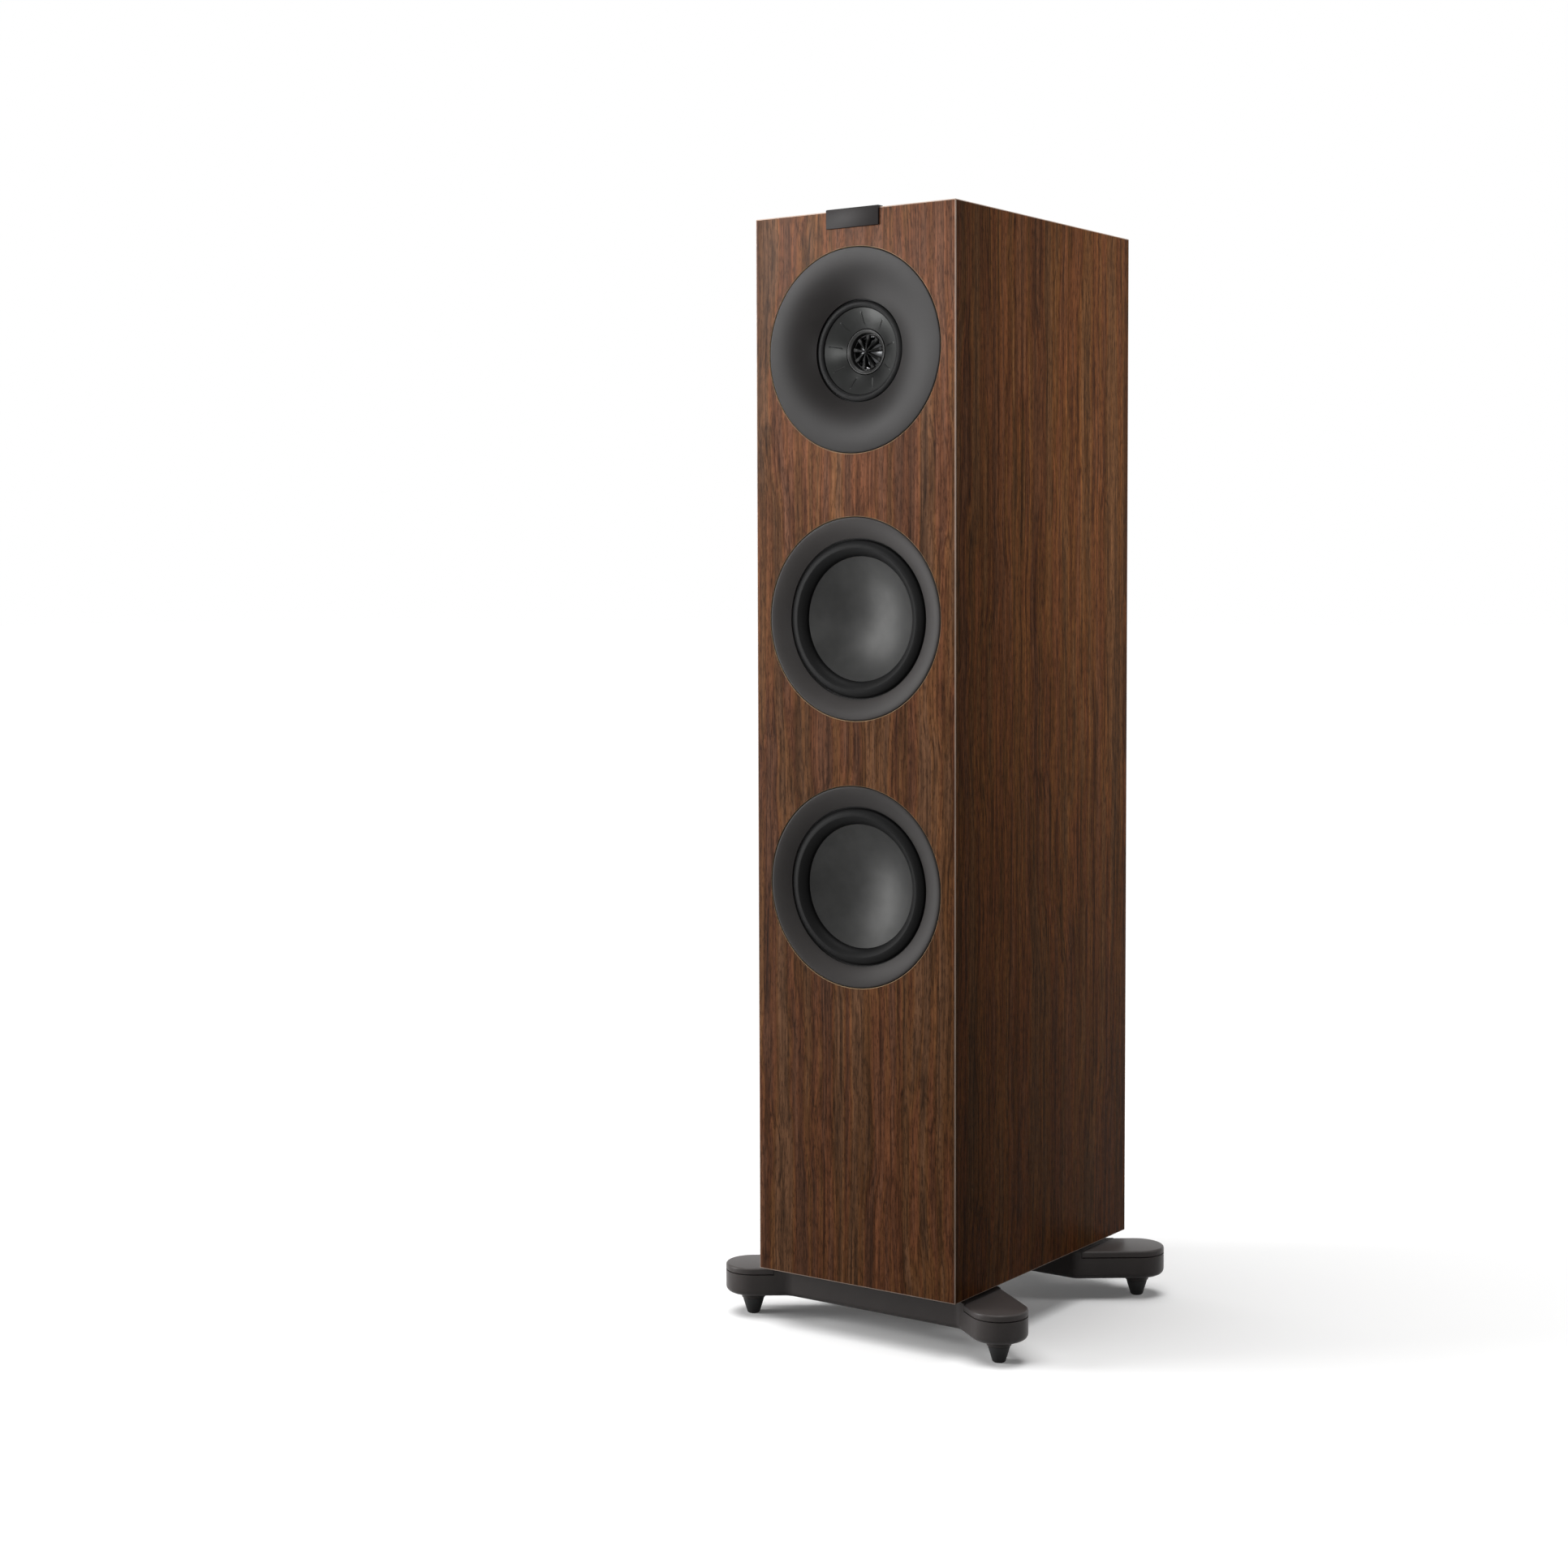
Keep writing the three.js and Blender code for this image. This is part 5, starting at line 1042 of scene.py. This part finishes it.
def add_board():
    """The crossover's board on standoffs, with two coils, three capacitors and a resistor."""
    def lay(a, b, along):
        return (a, BOARD_MIDDLE + b, along)

    top = BOARD_TOP
    parts = [lofted("plate", rounded_box(120, 150, 3), [
        (BOARD_LOW, 0.2), (BOARD_LOW + 0.2, 0), (top - 0.2, 0), (top, 0.2)], circuit, lay)]
    standoff = [(0, BOARD_FLOOR), (4, BOARD_FLOOR, 0.3), (4, BOARD_LOW), (0, BOARD_LOW)]
    head = [(0, top), (2.9, top), (2.9, top + 0.9, 0.8), (0, top + 1.7, 0.4)]
    for spot in ({"x": x, "y": BOARD_MIDDLE + along} for x in (-51, 51) for along in (-66, 66)):
        parts += [lathed("standoff", standoff, 0, black, 24, 2, **spot), lathed("screw", head, 0, zinc, 24, **spot)]
    for x in (-30, 30):
        parts += wound_coil(x, BOARD_MIDDLE + 37.5)
    front, rear, height = BOARD_MIDDLE - 37.5 - 21, BOARD_MIDDLE - 37.5 + 21, top + 8.1
    can = [(0, front), (8.1, front, 0.8), (9, front + 2, 0.8), (9, rear - 2, 0.8), (8.1, rear, 0.8), (0, rear)]
    for x in (-40, 0, 40):
        parts.append(lathed("capacitor", can, height, capacitor_film, 48, x=x))
        for side, end in ((-1, front), (1, rear)):
            parts.append(lead([(x, end - side, height), (x, end + side * 2.5, height),
                               (x, end + side * 4, height - 3), (x, end + side * 4, top - 0.4)]))
    parts.append(lofted("resistor", rounded_box(40, 9, 0.8), [
        (top, 0.5), (top + 0.5, 0), (top + 8.3, 0), (top + 9, 0.7)], resistor_ceramic, lay))
    for side in (-1, 1):
        route = ((19.5, 4.5), (22, 4.5), (23.5, 2.5), (23.5, -0.4))
        parts.append(lead([(side * x, BOARD_MIDDLE, top + above) for x, above in route]))
    stands_for(merged("crossover_assembly", parts), "crossover_board")


def add_loom():
    """Three twisted pairs up the cabinet, tied at intervals, each leaving for its own driver."""
    x, y, low, bend = -51.9, 199.9, 28.4, 26.0
    parts = []
    for index, (height, reach, depth) in enumerate(((LOWER, 48.3, 50.0), (UPPER, 48.3, 50.0), (COAX, 46.3, 44.0))):
        turn = 2 * pi * index / 3
        a, b = x + 1.5 * cos(turn), y + 1.5 * sin(turn)
        path = smooth_path([(a, b, z) for z in (low, low + bend, (low + height) / 2, height - bend - 6)] + [
            (x, y - bend, height), (-reach, depth + 2 * bend, height), (-reach, depth + 6, height)], 0.003)
        for phase, colour in ((0.0, insulation_red), (pi, insulation)):
            parts.append(tube_along("wire", path, 0.00062, colour, phase, 0.00064, 0.016, 6))
        corners = [(0, depth + 0.3), (1.6, depth + 0.3, 0.3), (2.1, depth + 8, 0.5), (0, depth + 8)]
        parts.append(lathed("sleeve", corners, height, black, 24, 2, x=-reach))
    for level in (90, 170, 270, 440, 530, 680, 760):
        corners = [(2.75, level - 1.5, 0.2), (3.3, level - 1.5, 0.3), (3.3, level + 1.5, 0.3), (2.75, level + 1.5, 0.2)]
        parts.append(lathed("tie", corners, 0, black, 24, 2, x=x, y=y))
    stands_for(merged("loom_wires", parts, 60), "wiring_loom")


add_cabinet()
add_badge()
add_coax()
add_bass("upper_bass", UPPER)
add_bass("lower_bass", LOWER)
add_port("upper_port", UPPER)
add_port("lower_port", LOWER)
add_terminals()
add_bar("front", False)
add_bar("rear", True)
add_wadding()
add_board()
add_loom()


# ---- Floor, light and camera. Places are in metres, in the frame. ----

def seen_rays(m):
    """One for rays from the camera, off gloss or through glass, and nought for the rest."""
    path = m.tree.nodes.new("ShaderNodeLightPath").outputs
    glossy = m.calc("MAXIMUM", path["Is Glossy Ray"], path["Is Transmission Ray"])
    return m.calc("MAXIMUM", path["Is Camera Ray"], glossy)


def add_floor(pale, dark, glow):
    """A pale floor. What it throws back up is held low, as dark cloths round a studio set do."""
    reach = 40
    mesh = bpy.data.meshes.new("floor")
    corners = [(x * reach, y * reach, 0) for x, y in ((-1, -1), (1, -1), (1, 1), (-1, 1))]
    mesh.from_pydata(corners, [], [(0, 1, 2, 3)])
    material = bpy.data.materials.new("pale_floor")
    material.use_nodes = True
    m = Nodes(material.node_tree)
    m.tree.nodes.clear()
    unseen, seen = (m.add("BsdfDiffuse", 0, {"Color": (*rgb(level), 1)}) for level in (dark, pale))
    lit = m.add("AddShader", 0, {0: seen, 1: m.add("Emission", 0, {"Strength": glow})})
    mixed = m.add("MixShader", 0, {0: seen_rays(m), 1: unseen, 2: lit})
    m.feed(m.tree.nodes.new("ShaderNodeOutputMaterial").inputs["Surface"], mixed)
    mesh.materials.append(material)
    linked("floor", mesh)


def add_world(ambient):
    """A white background whose light on the object is low."""
    world = bpy.data.worlds.new("studio")
    bpy.context.scene.world = world
    world.use_nodes = True
    m = Nodes(world.node_tree)
    background = m.tree.nodes["Background"].inputs
    background["Color"].default_value = (1, 1, 1, 1)
    levels = {"Value": seen_rays(m), "To Min": ambient, "To Max": 1.0}
    m.feed(background["Strength"], m.add("MapRange", "Result", levels))


def aimed(obj, direction):
    obj.rotation_mode = "QUATERNION"
    obj.rotation_quaternion = Vector(direction).to_track_quat("-Z", "Y")


def add_sun(direction, strength, spread):
    """A broad light from overhead, which gives the floor an even level and a soft shadow."""
    lamp = bpy.data.lights.new("overhead", "SUN")
    lamp.energy = strength
    lamp.angle = radians(spread)
    aimed(linked("overhead", lamp), direction)


def add_lamp(name, position, target, size, power, spread=180):
    """A rectangular soft light that faces a point."""
    lamp = bpy.data.lights.new(name, "AREA")
    lamp.shape = "RECTANGLE"
    lamp.size, lamp.size_y = size
    lamp.energy = power
    lamp.spread = radians(spread)
    obj = linked(name, lamp)
    obj.location = position
    obj.visible_camera = False
    aimed(obj, Vector(target) - Vector(position))


def add_camera():
    """The photograph's own viewpoint: nearly level, with the small shift that its framing needs."""
    position = Vector((1.23666, -1.9987, 0.67396))
    yaw, pitch, roll = 0.6191, 0.0556, -0.0033
    focal_pixels, photo_pixels, sensor = 3100.64, 1932, 36
    camera = bpy.data.cameras.new("camera")
    camera.sensor_width = sensor
    camera.lens = focal_pixels / photo_pixels * sensor
    camera.shift_y = -0.035
    obj = linked("camera", camera)
    forward = Vector((-sin(yaw) * cos(pitch), cos(yaw) * cos(pitch), -sin(pitch)))
    right = Vector((cos(yaw), sin(yaw), 0))
    up = right.cross(forward)
    right, up = right * cos(roll) + up * sin(roll), up * cos(roll) - right * sin(roll)
    turn = Matrix((right, up, -forward)).transposed()
    obj.matrix_world = Matrix.Translation(position) @ turn.to_4x4()
    bpy.context.scene.camera = obj


add_floor(pale=0.96, dark=0.08, glow=0.07)
add_world(0.08)
add_sun((0.07, 0.11, -1), 2.9, 50)
add_lamp("strip", (-1.310, -1.076, 0.54), (0.0, -0.157, 0.50), (0.65, 1.6), 32.5)
add_lamp("top", (-1.00, -1.48, 1.35), (-0.08, -0.157, 1.20), (0.6, 0.6), 2.4, 44)
add_lamp("front", (0.66, -1.82, 1.05), (0.0, -0.157, 0.92), (0.7, 0.5), 0.35, 30)
add_lamp("side", (1.15, 0.55, 1.15), (0.1, 0.27, 0.86), (0.5, 0.7), 2.7, 72)
add_camera()
bpy.context.scene.view_settings.view_transform = "Standard"
